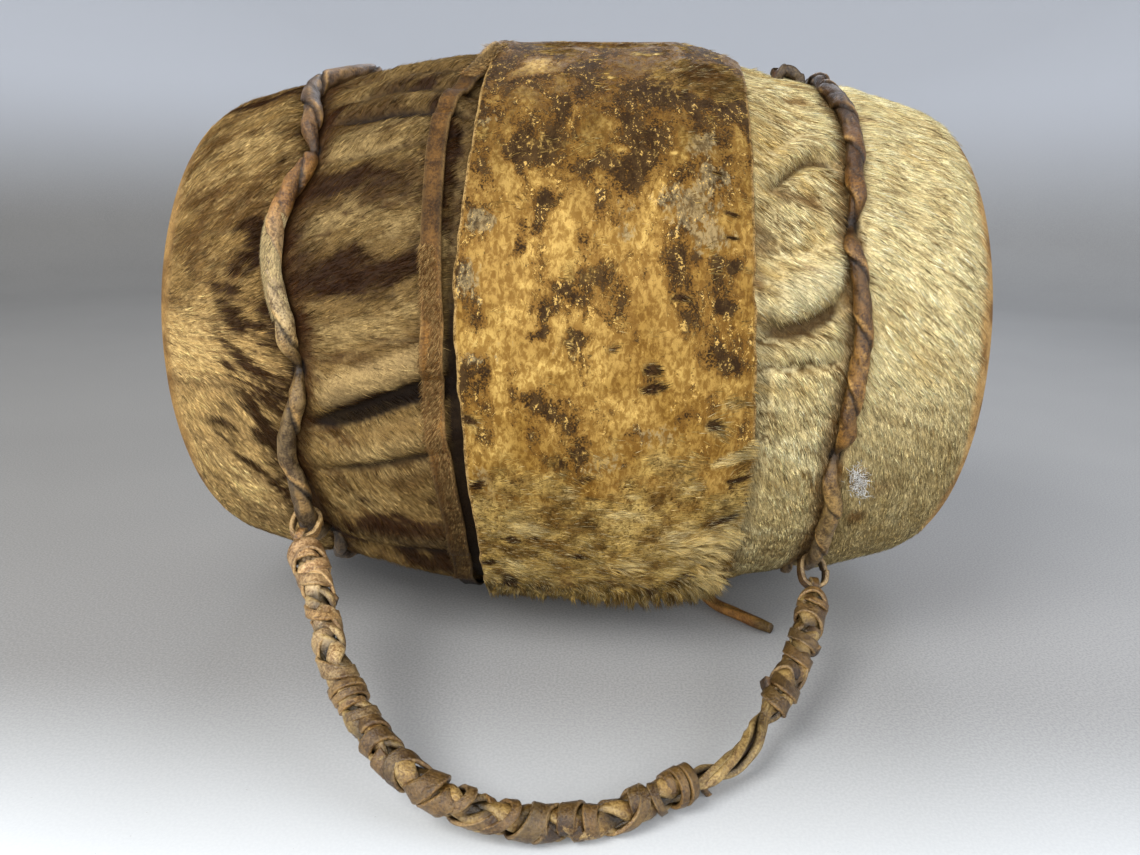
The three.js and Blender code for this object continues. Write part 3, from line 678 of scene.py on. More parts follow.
BROWN_DARK = (
    (-99, 125, 24, 8, 12, 1.0), (-90, 108, 30, 11, 6, 0.95), (-82, 55, 34, 10, 8, 1.0),
    (-58, 50, 16, 12, -10, 0.7), (-85, 85, 26, 5, 12, 0.9), (-132, 112, 15, 17, 55, 0.85),
    (-126, 98, 10, 16, 80, 0.7), (-134, 84, 12, 15, -50, 0.8), (-128, 70, 15, 10, -45, 0.75),
    (-150, 76, 16, 9, -50, 0.45), (-143, 101, 14, 5, -48, 0.9), (-139, 92, 18, 5, -50, 0.95),
    (-147, 88, 12, 4, -52, 0.8), (-133, 76, 20, 5, -48, 0.95), (-144, 68, 12, 4, -50, 0.8),
    (-131, 61, 10, 5, -45, 0.85), (-152, 104, 10, 4, -40, 0.7), (-96, 64, 8, 3, 10, 0.8),
    (-104, 47, 18, 6, -12, 0.9), (-66, 44, 22, 8, -14, 1.0), (-76, 60, 12, 3.5, 6, 0.8),
    (-60, 66, 8, 4, 0, 0.7), (-112, 145, 15, 5, 20, 0.75), (-160, 158, 32, 8, 12, 0.9),
    (-128, 141, 10, 5, 10, 0.5), (-66, 150, 20, 8, -5, 0.6), (-54, 131, 8, 36, 0, 0.95),
    (-84, 85, 24, 4, 10, 0.9), (-104, 218, 30, 14, 20, 0.8), (-80, 255, 26, 12, -20, 0.8),
    (-140, 270, 24, 14, 40, 0.8), (-96, 305, 30, 14, 10, 0.9), (-150, 330, 22, 12, -30, 0.7),
    (-70, 345, 22, 12, 0, 0.7), (-150, 215, 20, 10, 20, 0.6),
)
BROWN_LIGHT = (
    (-94, 134, 26, 7, 12, 0.8), (-80, 117, 26, 7, 8, 0.8), (-88, 97, 24, 6, 12, 0.9),
    (-84, 89, 26, 3.5, 14, 1.0), (-56, 112, 9, 10, 0, 0.7), (-84, 74, 28, 7, 8, 0.8),
    (-94, 63, 20, 7, 5, 0.7), (-150, 135, 30, 14, 30, 0.7), (-165, 95, 16, 30, 90, 0.7),
    (-150, 60, 26, 10, -45, 0.7),
)
CREAM_DARK = (
    (95, 124, 13, 4, -12, 0.85), (77, 108, 6, 9, 10, 0.6), (90, 128, 9, 4, -20, 0.5),
    (76, 116, 8, 13, 70, 0.75), (100, 110, 14, 2.5, -8, 0.7), (137, 127, 6, 4, 0, 0.6),
    (131, 118, 6, 3, 20, 0.5), (133, 134, 12, 3, 5, 0.35), (126, 148, 22, 4, -10, 0.6),
    (95, 151, 13, 4, 5, 0.7), (92, 143, 12, 2.5, -4, 0.6), (98, 158, 10, 3, -8, 0.6),
    (78, 101, 9, 5, 20, 0.55), (139, 67, 18, 7, 12, 0.7), (132, 60, 6, 6, 0, 0.8),
    (158, 63, 14, 5, 60, 0.4), (80, 76, 5, 4, 0, 0.6), (108, 78, 4, 4, 0, 0.5), (128, 70, 7, 9, 0, 0.75),
    (146, 66, 12, 2.5, 30, 0.6), (100, 230, 16, 8, 10, 0.5), (140, 260, 14, 8, 30, 0.5),
    (90, 300, 18, 8, -10, 0.5), (150, 320, 14, 7, 40, 0.5), (125, 205, 14, 6, 0, 0.5),
)


def brown_lie(x, turn):
    """Angle of the hair from +X towards a rising turn: up and outwards above the middle, down below it."""
    turns = (0, 60, 84, 104, 130, 165, 200, 360)
    front = np.interp(turn % 360, turns, (-60, -52, -38, 24, 32, 18, 5, -60))
    return front + 12 * noise(unrolled(x, turn, 2.3), 38, 11)


def cream_lie(x, turn):
    """The hair runs down and to the right, steeper towards the underside."""
    turns = (0, 35, 60, 90, 112, 135, 165, 200, 360)
    front = np.interp(turn % 360, turns, (-120, -104, -82, -56, -40, -30, -12, 0, -120))
    return front + 14 * noise(unrolled(x, turn, 2.3), 34, 12)


def brown_coat(hide, run, turn):
    """Coat of the brown hide: golden tan flecked with paler and darker hair, and dark patches."""
    x, radius = skirt_place(hide, run)
    lie = brown_lie(x, turn)
    fleck = streaked(x, turn, lie, 5, 1.1, 21)
    streak = streaked(x, turn, lie, 12, 4.5, 27)
    mottle = streaked(x, turn, lie, 30, 14, 24)
    moved = warped(x, turn, 11, 22, 31)
    dark = patch(*moved, BROWN_DARK)
    light = patch(*moved, BROWN_LIGHT)
    beyond = ease(-112, -130, x)
    depth = 1.4 * dark - 0.6 * light + (0.75 + 0.4 * beyond) * streak + 0.4 * mottle
    depth = ease(0.2, 0.9, depth + (0.6 - 0.15 * beyond) * fleck)
    colour = mixed("#957745", "#684c26", ease(-0.35, 0.35, mottle + 0.5 * streak))
    colour = mixed(colour, "#cdae72", ease(0.0, 0.6, 0.8 * fleck + 0.4 * streak + 0.6 * light) * 0.78)
    colour = mixed(colour, "#412910", ease(0.05, 0.6, -0.8 * fleck - 0.3 * light) * 0.6)
    # Lighter beyond the lacing, and paler towards the underside, most beyond the lacing.
    low = ease(118, 70, turn % 360) * ease(10, 40, turn % 360)
    colour = colour * (0.63 + beyond * (0.32 + 1.1 * low) + 0.2 * (1 - beyond) * low)[..., None]
    colour = mixed(colour, "#b09c70", beyond * low * 0.35)
    colour = mixed(colour, "#2c1502", depth * 0.95)
    colour = crease_shade_and_ridge_highlight(colour, hide, x, turn, "#1a0f05", "#c4a771")
    colour = lacing_hole_and_gap_shade(colour, hide, x, radius, turn, "#3d230c")
    return rim_worn(colour, x, radius, turn, "#b28c52", "#7d5c31")


def cream_coat(hide, run, turn):
    """Coat of the cream hide: pale gold with darker roots in streaks, brown marks and a golden-brown rim."""
    x, radius = skirt_place(hide, run)
    lie = cream_lie(x, turn)
    fleck = streaked(x, turn, lie, 5.5, 0.9, 41)
    streak = streaked(x, turn, lie, 18, 5, 47)
    mottle = streaked(x, turn, lie, 40, 18, 44)
    colour = mixed("#ecd89f", "#d6bd82", ease(-0.3, 0.6, mottle + 0.4 * streak))
    colour = mixed(colour, "#fbf0c2", ease(-0.1, 0.6, fleck) * 0.65)
    inner = ease(122, 112, x)
    roots = ease(0.08, 0.5 - 0.12 * inner, -fleck - 0.3 * streak)
    colour = mixed(colour, "#644a22", roots * (0.8 + 0.12 * inner))
    low = ease(100, 66, turn % 360) * ease(20, 45, turn % 360) * ease(112, 124, x)
    colour = mixed(colour, "#8d743f", low * (0.62 + 0.3 * streak))
    within = ease(118, 100, x) * (0.16 + 0.5 * streak + 0.5 * mottle + 0.2 * ease(112, 94, turn % 360))
    colour = mixed(colour, "#a3843f", np.clip(within, 0, 0.65))
    marks = patch(*warped(x, turn, 4, 12, 35), CREAM_DARK) + 0.3 * streak + 0.2 * fleck
    colour = mixed(colour, "#7a5a32", ease(0.3, 0.85, marks) * 0.85)
    colour = crease_shade_and_ridge_highlight(colour, hide, x, turn, "#4d3616", "#fff3c4")
    colour = lacing_hole_and_gap_shade(colour, hide, x, radius, turn, "#6a4519")
    return rim_worn(colour, x, radius, turn, "#c39c60", "#85602f")


def crease_shade_and_ridge_highlight(colour, hide, x, turn, dark, light):
    """Painted shade deep in the pleats' grooves, and a painted highlight along their ridges."""
    ridges, grooves = pleat_parts(hide, x, turn)
    colour = mixed(colour, light, ease(2.4, 5.6, ridges - grooves) * 0.5)
    return mixed(colour, dark, ease(0.5, 2.6, grooves - 0.2 * ridges) * 0.94)


def lacing_hole_and_gap_shade(colour, hide, x, radius, turn, dip_shade):
    """Painted shadow in the dip on the band's side of the lacing, painted black shade in its holes, and
    painted shadow in the gap beside the band.
    """
    place = on_drum(x, radius, turn)
    ragged = noise(place, 5, 57)
    beside = hide["side"] * (x - lacing_x(hide["lacing"], turn))
    dip = ease(-12.5, -5, beside + 1.5 * ragged) * ease(5.5, 2.5, beside + ragged)
    colour = mixed(colour, dip_shade, dip * 0.8)
    hole = np.hypot(beside / 3.6, hole_apart(hide["lacing"], turn) * HOLE_DEGREE / 5.5)
    colour = mixed(colour, "#0d0704", ease(1.25, 0.75, hole + 0.15 * ragged) * 0.95)
    gap = ease(hide["edge"] + 7.5, hide["edge"] + 4.0, np.abs(x) + 0.8 * ragged)
    return mixed(colour, "#22150a", gap * gap_depth(hide, turn))


def rim_worn(colour, x, radius, turn, gold, brown):
    """The hair is worn off the rim, and the head is bare and polished towards its middle."""
    place = on_drum(x, radius, turn)
    ragged = 3.5 * cloud(place, 16, 51)
    rim = ease(175.5, 181, np.abs(x) + ragged)
    skin = mixed(gold, brown, ease(-0.25, 0.45, cloud(place, 10, 53)))
    skin = mixed(skin, "#e2c084", ease(0.3, 0.7, cloud(place, 5, 59)) * 0.6)
    head = np.abs(x) > HALF_LENGTH - 0.6
    middle = ease(78, 40, radius + 8 * cloud(place, 26, 55)) * head
    skin = mixed(skin, "#c9a468", ease(94, 84, radius) * head * 0.5)
    skin = mixed(skin, "#6d4a26", middle * 0.55)
    return mixed(colour, skin, rim)


def hair_cover(hide, x, radius, turn):
    """Share of the hair left at a place: none on the rim or the head, less where hands and thongs rub."""
    place = on_drum(x, radius, turn)
    cover = 1 - ease(174, 180.5, np.abs(x) + 3.0 * cloud(place, 16, 51))
    rubbed = ease(0.25, 0.75, cloud(place, 28, 61 + hide["seed"]))
    near = np.abs(x - lacing_x(hide["lacing"], turn))
    gap = ease(hide["edge"] + 4.0, hide["edge"] + 7.5, np.abs(x))
    gap = np.maximum(gap, 1 - gap_depth(hide, turn))
    bare = ease(3.6, 4.6, pleat_parts(hide, x, turn)[0]) * (0.75 if hide["side"] < 0 else 0.2)
    front = np.where((turn > 15) & (turn < 190), 1.0, 0.5)
    return cover * (1 - 0.35 * rubbed) * (0.2 + 0.8 * ease(2.0, 6.0, near)) * gap * front * (1 - bare)


LACINGS = {
    "brown": {"side": -1, "hole": 90, "anchor": 57, "wander": 5.0, "drift": 9.0, "size": 1.0, "twist": 36.0},
    "cream": {"side": 1, "hole": 120, "anchor": 44, "wander": 2.0, "drift": 0.0, "size": 0.93, "twist": 27.0},
}
HIDES = {
    "brown": {
        "side": -1,
        "seed": 1,
        "edge": 43.0,
        "gap_dark": 0.95,
        "pleat_run": 22.0,
        "lacing": LACINGS["brown"],
        "pleats": all_pleats(BROWN_PLEATS, 3),
        "outline": outline_of(14.0),
        "coat": brown_coat,
        "lie": brown_lie,
        "node": "brown_head_hide",
    },
    "cream": {
        "side": 1,
        "seed": 2,
        "edge": 80.0,
        "gap_dark": 0.35,
        "pleat_run": 10.0,
        "lacing": LACINGS["cream"],
        "pleats": all_pleats(CREAM_PLEATS, 8),
        "outline": outline_of(36.0),
        "coat": cream_coat,
        "lie": cream_lie,
        "node": "cream_head_hide",
    },
}
HIDE_COLUMNS = 560
UNDER_BAND = 6.0


def make_hide(key, skin):
    """One head hide: rows by length along its outline, closely where it shows, and a plain wall inside."""
    hide = HIDES[key]
    table = hide["outline"][0]
    hidden, rim = run_at(hide, hide["edge"] - UNDER_BAND), table[-4]
    side, head = np.linspace(hidden, rim, 116), np.linspace(rim, table[-1] - 4, 12)
    runs = np.concatenate([np.linspace(0, hidden, 5)[:-1], side[:-1], head])
    turns = np.arange(HIDE_COLUMNS) * 360 / HIDE_COLUMNS
    run, turn = np.meshgrid(runs, turns, indexing="ij")
    outer = hide_shape(hide, run, turn)
    inner_run, inner_turn = np.meshgrid(np.linspace(table[-1] - 6, 0, 10), turns, indexing="ij")
    x, radius = skirt_place(hide, inner_run)
    inner_radius = np.maximum(radius - HIDE_THICKNESS - 0.6, 2)
    inside = on_drum(x * (1 - HIDE_THICKNESS / HALF_LENGTH), inner_radius, inner_turn)
    tint = hide["coat"](hide, run, turn)
    inner_tint = np.broadcast_to(linear("#8a6a42"), inside.shape)
    pole, inner_pole = outer[-1].mean(0), inside[0].mean(0)
    near = [pole * share + outer[-1:] * (1 - share) for share in (0.93, 0.999)]
    rows = np.concatenate([outer, *near, inner_pole * 0.999 + inside[:1] * 0.001, inside])
    tints = np.concatenate([tint, tint[-1:], tint[-1:], inner_tint[:1], inner_tint])
    made = grid_object(f"{key}_hide", rows, closed_rows=True, tint=tints)
    finish_piece(made, skin, "drum", [hide["node"]])


# Hair


def strands(name, roots, normal, lie, length, width, tint, material):
    """Hair as closed thin spikes of four faces: a root triangle, wide across and a third as high, and a tip
    along the lie. Each strand has its own cell of the UV map."""
    count = len(roots)
    across = unit(np.cross(normal, lie))
    half = (width / 2)[:, None]
    tip = roots + lie * length[:, None]
    corners = np.stack([roots + across * half, roots - across * half, roots + normal * half * 0.9, tip], 1)
    spike = np.array([[0, 2, 1], [0, 1, 3], [1, 2, 3], [2, 0, 3]])
    faces = (np.arange(count) * 4)[:, None, None] + spike
    side = math.ceil(math.sqrt(count))
    cell = stacked(np.arange(count) % side, np.arange(count) // side) / side
    shares = np.array([[0.08, 0.08], [0.92, 0.08], [0.5, 0.2], [0.5, 0.94]])
    uv = (cell[:, None] + shares / side)[:, spike].reshape(-1, 3, 2)
    tips = np.array([0.62, 0.62, 0.8, 1.2])
    colours = tint[:, None] * tips[None, :, None]
    made = make_mesh(name, corners, [faces.reshape(-1, 3)], [uv], tint=colours)
    made.data.materials.append(material)
    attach(made, "drum")
    return made


def surface_frame(shape, run, turn):
    """Point, unit steps along the outline and round the drum, and outward normal, by small differences."""
    here = shape(run, turn)
    along = unit(shape(run + 0.4, turn) - shape(run - 0.4, turn))
    around = unit(shape(run, turn + 0.2) - shape(run, turn - 0.2))
    normal = unit(np.cross(around, along))
    outward_normal = normal * np.sign((normal * outward(turn)).sum(-1, keepdims=True) + 1e-6)
    return here, along, around, outward_normal


HAIR_LENGTH = {"brown": 5.4, "cream": 6.2}
HAIR_WIDTH = {"brown": 0.37, "cream": 0.33}
HAIR_TONES = {"brown": (0.55, 1.4), "cream": (0.56, 1.4)}
HAIRS_PER_PIECE = 49500
DRAWN_AT_ONCE = 90000
BAND_ROOTS_DRAWN = 300000
LACING_ROOTS_DRAWN = 5200
GIRTH_HAIRS, GIRTH_HAIRS_ON_EDGE = 9000, 1500
LINT_STRANDS = 260
ROOT_DEPTH = 0.15
THONG_HAIR_WIDTH = 0.36


def grow_coat(key, part, run_low, run_high, material):
    """Hair over part of a hide: roots spread evenly by area, thinned where the hair is worn, lying along the
    coat's flow with clumps that lean together."""
    hide = HIDES[key]
    chance = np.random.default_rng(100 + hide["seed"] * 10 + part)
    run, turn = np.empty(0), np.empty(0)
    while len(run) < HAIRS_PER_PIECE:
        more_run = chance.uniform(run_low, run_high, DRAWN_AT_ONCE)
        more_turn = chance.uniform(0, 360, DRAWN_AT_ONCE)
        x, radius = skirt_place(hide, more_run)
        odds = hair_cover(hide, x, radius, more_turn) * radius / HIDE_BELLY
        keep = chance.uniform(0, 1, DRAWN_AT_ONCE) < odds
        run = np.concatenate([run, more_run[keep]])
        turn = np.concatenate([turn, more_turn[keep]])
    run, turn = run[:HAIRS_PER_PIECE], turn[:HAIRS_PER_PIECE]
    here, along, around, normal = surface_frame(lambda *place: hide_shape(hide, *place), run, turn)
    to_right = along * hide["side"]
    x, radius = skirt_place(hide, run)
    flat = unrolled(x, turn)
    lie = hide["lie"](x, turn) + 12 * noise(flat, 5, 70) + chance.normal(0, 8, len(run))
    angle = np.radians(lie)[:, None]
    lift = np.abs(chance.normal(0.08, 0.06, len(run)) + 0.05 * noise(flat, 6, 73))
    heading = unit(to_right * np.cos(angle) + around * np.sin(angle) + normal * lift[:, None])
    length = HAIR_LENGTH[key] * chance.uniform(0.55, 1.15, len(run))
    width = HAIR_WIDTH[key] * chance.uniform(0.7, 1.3, len(run))
    clump = 1 + 0.28 * noise(flat, 1.6, 75)
    tint = hide["coat"](hide, run, turn) * (clump * chance.uniform(*HAIR_TONES[key], len(run)))[:, None]
    kind = chance.uniform(0, 1, len(run))[:, None]
    tint = np.where(kind < 0.1, tint * 1.5 + linear("#e8cf9a") * 0.04, tint)
    tint = np.where(kind > 0.88, tint * 0.4, tint)
    roots = here - normal * ROOT_DEPTH
    made = strands(f"{key}_hair_{part}", roots, normal, heading, length, width, tint, material)


# Centre band


BAND_EDGE_TURNS = (0, 37, 58, 73, 88, 104, 121, 137, 155, 180, 240, 300, 360)
BAND_LEFT_EDGE = (-43, -41, -39.5, -41, -43, -45, -42.5, -41, -40, -42, -44, -42, -43)
BAND_RIGHT_EDGE = (80, 80, 78, 80, 79, 77, 76, 76, 77, 78, 80, 79, 80)
BAND_WIDTH = 122.0
BAND_THICKNESS = 2.4
BAND_COLUMNS = 600
BAND_ROWS = 96


def band_edges(turn):
    """Left and right edge of the band along the drum: curves through places seen, ragged by a noise, and
    frayed inwards at the right below the front."""
    turn = turn % 360
    ragged = 0.5 * noise(stacked(turn * 2.6, 0.0, 0.0), 7, 81)
    frayed = 2.2 * noise(stacked(turn * 2.6, 0.0, 9.0), 5, 82) * ease(70, 45, turn)
    left = through(turn, BAND_EDGE_TURNS, BAND_LEFT_EDGE) + ragged
    right = through(turn, BAND_EDGE_TURNS, BAND_RIGHT_EDGE) + ragged + np.minimum(frayed, 0)
    return left, right


def band_shape(across, turn):
    """Point on the band's outside at a share of its width and a turn: a hoop at the belly's radius whose
    right edge follows the barrel down, cockled as dried hide is, and worn flat underneath."""
    left, right = band_edges(turn)
    x = left + (right - left) * across
    drop = np.interp(across, (0, 0.09, 0.2, 0.73, 0.86, 0.95, 1), (1, 0.5, 0, 0, 0.3, 0.72, 1))
    drop = drop * np.where(across < 0.5, 1.4, 8.2)
    place = on_drum(x, BELLY_RADIUS, turn)
    rise = 0.9 * cloud(place, 34, 83) + 0.3 * cloud(place, 9, 85)
    edge = np.minimum(across, 1 - across)
    rise += 0.8 * ease(0.05, 0, edge) * noise(place, 18, 87)
    rise += 1.6 * hump(turn_apart(turn, 166), 0, 12) * ease(0.12, 0, across)
    radius = BELLY_RADIUS - 0.7 - drop + rise
    fall = np.cos(np.radians(turn))
    flat = np.where(fall > 0.2, AXIS_HEIGHT / np.maximum(fall, 0.2), 1e6)
    return on_drum(x, np.minimum(radius, flat), turn)


# Marks on the band: x and turn of the middle, half length and half width in mm, slant, and strength
BAND_BROWN = (
    (-35, 124, 7.3, 5.4, 94, 0.5), (-37, 118, 4.9, 5.3, 0, 0.35), (-22, 128, 7.5, 4.2, 0, 0.35),
    (-7, 129, 9.2, 5.8, 0, 0.3), (11, 126, 11, 5.9, 25, 0.4), (23, 124, 10.6, 6.6, 82, 0.6),
    (10, 117, 8.7, 4.1, 92, 0.5), (8, 113, 8, 4.9, 92, 0.6), (22, 115, 10.2, 5.7, 91, 0.3),
    (-9, 119, 5.7, 4, 0, 0.42), (-9, 114, 5.1, 3.4, 92, 0.4), (-19, 115, 2.9, 2.6, 0, 0.35),
    (-21, 111, 6.4, 3.4, 82, 0.55), (12, 108, 8.9, 7.3, 0, 0.35), (-2, 105, 3.2, 2.6, 0, 0.6),
    (3, 104, 3.2, 2.4, 0, 0.4), (51, 110, 12, 4.9, 0, 0.4), (67, 110, 3.6, 3.3, 0, 0.5),
    (64, 103, 4.8, 4, 0, 0.6), (49, 101, 5.6, 4, 92, 0.5), (55, 106, 12.7, 7.2, 21, 0.3),
    (-40, 105, 8.1, 6.5, 92, 0.42), (-31, 100, 8.1, 4, 0, 0.3), (-11, 101, 6.5, 4.8, 0, 0.3),
    (-10, 98, 5.7, 2.4, 21, 0.65), (4, 97, 7.3, 3.6, 0, 0.5), (-13, 88, 7.8, 5.6, -9, 0.65),
    (-3, 86, 5.8, 5.2, 2, 0.45), (2, 83, 5, 3.6, 2, 0.5), (-36, 93, 9.1, 6.5, 80, 0.35),
    (-13, 82, 8.3, 4.6, 90, 0.4), (8, 80, 6.5, 5.2, 64, 0.5), (-3, 77, 6, 5, 2, 0.42),
    (50, 85, 4.9, 4, 2, 0.5), (29, 82, 14.2, 5.5, 18, 0.3), (23, 78, 9.4, 5.7, 25, 0.4),
    (30, 74, 10.3, 4.2, 2, 0.38), (62, 95, 8, 4.8, 0, 0.34), (70, 94, 3.2, 2.4, 0, 0.5),
    (18, 96, 3.4, 1.8, 31, 0.5), (42, 75, 10.2, 5.1, 14, 0.34), (36, 92, 4.9, 3.7, 2, 0.4),
    (-21, 83, 4.2, 5.4, 2, 0.3), (20, 200, 50, 40, 0, 0.3), (-10, 250, 30, 50, 0, 0.35),
    (50, 300, 26, 40, 0, 0.35),
)
BAND_GOLD = (
    (-17, 151, 8.7, 9, 2, 0.8), (-35, 140, 6.1, 8.7, 0, 0.4), (-20, 137, 3.9, 7.9, 0, 0.45),
    (-25, 131, 5.9, 5.6, 0, 0.35), (0, 135, 10.6, 1.4, 92, 0.6), (17, 134, 5.1, 4.8, 0, 0.4),
    (28, 138, 3.9, 6, 0, 0.4), (22, 129, 5, 2.3, -11, 0.5), (33, 117, 15.7, 1.5, 76, 0.8),
    (37, 122, 3.7, 2.5, 64, 0.6), (46, 143, 11.2, 3.9, 22, 0.4), (70, 133, 17.9, 5, 87, 0.5),
    (44, 128, 6.3, 0.8, -18, 0.8), (-14, 123, 12.4, 7.7, 0, 0.45), (-1, 115, 10.3, 4.9, 92, 0.45),
    (-10, 111, 9.7, 5.8, 0, 0.45), (-21, 101, 11.4, 4, 11, 0.6), (5, 100, 12.9, 3.2, 0, 0.6),
    (-17, 105, 4.5, 1.6, 0, 0.9), (-34, 97, 9, 5.7, 0, 0.65), (-5, 93, 6.9, 1.6, -4, 1.0),
    (-14, 91, 5, 2.1, 12, 0.7), (10, 93, 8.1, 7.4, 2, 0.55), (25, 86, 10.7, 6.1, 2, 0.5),
    (-29, 80, 9.3, 8.1, 2, 0.55), (67, 90, 5.7, 3.3, 2, 0.45), (47, 93, 9.7, 7.4, 2, 0.35),
    (-10, 74, 5.8, 1.4, 89, 0.6), (-27, 90, 7.6, 3.3, 90, 0.45), (13, 63, 14.4, 8.3, 3, 0.3),
)
BAND_GREY = (
    (54, 130, 7.5, 6.5, 0, 0.6), (59, 124, 9, 5.8, 0, 0.5), (50, 119, 13.7, 10.7, 0, 0.55),
    (55, 114, 12, 6.8, 0, 0.45), (-35, 116, 6.1, 4.3, 0, 0.75), (-36, 135, 7.5, 4.3, 95, 0.3),
    (22, 118, 3.7, 4, 0, 0.4), (25, 114, 4.8, 5.1, 0, 0.4), (-38, 106, 8.1, 5.7, 92, 0.4),
    (-36, 95, 5.7, 4.9, 0, 0.35), (37, 82, 13.3, 5.5, 2, 0.3), (18, 78, 13.8, 5.7, 25, 0.35),
    (-30, 72, 11.4, 8.8, 2, 0.45), (-39, 65, 20.1, 6.3, 86, 0.5), (-6, 66, 10.7, 6.3, 3, 0.4),
    (50, 73, 7.8, 4.2, 27, 0.5), (30, 230, 30, 20, 0, 0.4), (-10, 290, 24, 20, 0, 0.4),
)
# Small cuts where dark hair pokes out, and tufts of pale hair
BAND_CUTS = (
    (65, 118, 3.4, 0.9, -4, 1), (65, 114, 2.8, 0.8, -4, 0.9), (59, 125, 1.7, 0.9, 0, 0.9),
    (45, 104, 4, 1.5, 6, 1), (35, 93, 3.9, 3, 0, 0.9), (36, 90, 5.9, 2.2, 10, 1), (-39, 84, 5, 2, -9, 1),
    (61, 84, 3.6, 3, 2, 0.8), (-37, 72, 3.2, 2.8, 2, 1), (-24, 59, 4.8, 3, -5, 1),
    (-14, 60, 3.7, 1.6, 3, 0.7), (69, 64, 7.9, 2, 15, 1), (74, 73, 5.9, 1.3, 2, 1),
    (8, 74, 5.4, 1.3, 31, 0.8), (-36, 51, 4.9, 3.4, 25, 0.9), (6, 55, 3.8, 3, 4, 0.8),
    (11, 70, 3.5, 0.9, 2, 0.7), (19, 96, 2.6, 1.2, 31, 0.8), (-28, 43, 9, 5, -79, 1),
    (-12, 41, 6, 3, 0, 0.8), (40, 42, 7, 3, 0, 0.8), (55, 47, 9, 2, 60, 0.8),
)
BAND_PALE = (
    (29, 66, 12.5, 2.7, -9, 1), (69, 78, 10.8, 2.9, 11, 1), (27, 51, 8.6, 7, 4, 0.8),
    (-16, 62, 10, 3.7, -5, 0.8), (50, 61, 8.2, 8.6, 19, 1), (64, 57, 12.2, 11, 79, 1),
    (72, 60, 6.3, 9, 20, 1), (66, 43, 26, 9, 92, 0.9), (1, 71, 5.3, 2.2, 15, 0.6),
    (54, 72, 5.1, 3.3, 15, 0.6), (-25, 50, 4.9, 9, 5, 0.6), (26, 71, 4.5, 2, 27, 0.6),
    (61, 84, 6, 5.2, 0, 0.5), (68, 88, 7, 4, 5, 0.5), (48, 150, 14, 3, 14, 0.5), (30, 156, 12, 3, 8, 0.5),
)


def band_fields(x, turn):
    """How much brown grain is left, grey dirt, how much hair is left, and the colour of the gold hide and of
    the hair."""
    turn = turn % 360
    place = on_drum(x, BELLY_RADIUS, turn)
    moved = warped(x, turn, 3.5, 9, 37)
    gold = patch(*moved, BAND_GOLD)
    # The band is darker and browner towards the top.
    top = ease(112, 136, turn) * ease(200, 176, turn)
    brown = patch(*moved, BAND_BROWN) * (1.35 + 0.5 * noise(place, 6, 94)) + 0.2 * cloud(place, 16, 86)
    brown = 0.12 + 0.5 * top + brown - 0.6 * gold
    grey = 0.08 + patch(*moved, BAND_GREY)
    low = ease(88, 58, turn) + ease(290, 330, turn)
    swirl = patch(*moved, ((56, 148, 24, 17, 8, 1.0), (10, 163, 40, 8, 0, 1.0), (-10, 158, 14, 5, 0, 0.8)))
    cuts = patch(x, turn, BAND_CUTS)
    pale = patch(*warped(x, turn, 6, 8, 39), BAND_PALE)
    worn = cloud(place, 13, 91)
    hairy = 0.8 * low - 0.45 * gold + 0.7 * worn
    hairy = np.clip(np.maximum.reduce([hairy, 0.9 * swirl + 0.3 * worn, 1.1 * pale, 1.2 * cuts]), 0, 1)
    skin = mixed("#a07f42", "#87662c", ease(-0.3, 0.4, cloud(place, 24, 92)))
    skin = mixed(skin, "#c4a35c", np.clip(gold * 1.1 + 0.25 * ease(0.1, 0.6, worn), 0, 1))
    skin = skin * (1 - 0.5 * top * (1 - gold))[..., None]
    coat = mixed("#ab8d4d", "#6d5125", ease(-0.4, 0.4, cloud(place, 6, 93)))
    coat = mixed(coat, "#c2a766", ease(0.05, 0.6, cloud(place, 11, 90)) * 0.6)
    coat = mixed(coat, "#53371a", np.clip(swirl, 0, 1) * 0.85)
    coat = mixed(coat, "#cfb577", ease(0.2, 0.9, pale + 0.5 * noise(place, 3, 89)) * 0.7)
    coat = mixed(coat, "#34200f", ease(0.4, 0.65, cuts) * 0.95)
    return brown, grey, hairy, skin, coat, cuts, pale


def make_band(skin):
    """The band: its outside, two rounded edges and its inside, closed into a hoop."""
    turns = np.arange(BAND_COLUMNS) * 360 / BAND_COLUMNS
    shares = np.concatenate([[0], np.linspace(0.004, 0.996, BAND_ROWS - 2), [1]])
    across, turn = np.meshgrid(shares, turns, indexing="ij")
    outside = band_shape(across, turn)
    left, right = band_edges(turn)
    x = left + (right - left) * across
    in_shares, in_turn = np.meshgrid(np.linspace(1, 0, 12), turns, indexing="ij")
    inside = band_shape(in_shares, in_turn) - outward(in_turn) * BAND_THICKNESS
    edge = np.minimum(across, 1 - across) * BAND_WIDTH
    near_edge = np.clip(edge * 2 / BAND_THICKNESS, 0, 1)
    rounded = (1 - np.sqrt(near_edge * (2 - near_edge))) * BAND_THICKNESS / 2
    outside = outside - outward(turn) * rounded[..., None]
    brown, grey, hairy, skin_tint, coat, _, _ = band_fields(x, turn)
    cut = ease(1.3, 0.4, edge)
    tint = mixed(mixed(skin_tint, coat, ease(0.25, 0.65, hairy)), "#a98a58", cut)
    marks = stacked(brown * (1 - cut), grey, np.maximum(hairy * 0.9, cut))
    in_tint = np.broadcast_to(linear("#8d6c3d"), inside.shape)
    in_marks = np.broadcast_to([0.3, 0.2, 0.0], inside.shape)
    made = grid_object(
        "centre_band_hide",
        np.concatenate([outside, inside]),
        closed_rows=True,
        tint=np.concatenate([tint, in_tint]),
        marks=np.concatenate([marks, in_marks]),
    )
    finish_piece(made, skin, "drum", ["centre_band"])


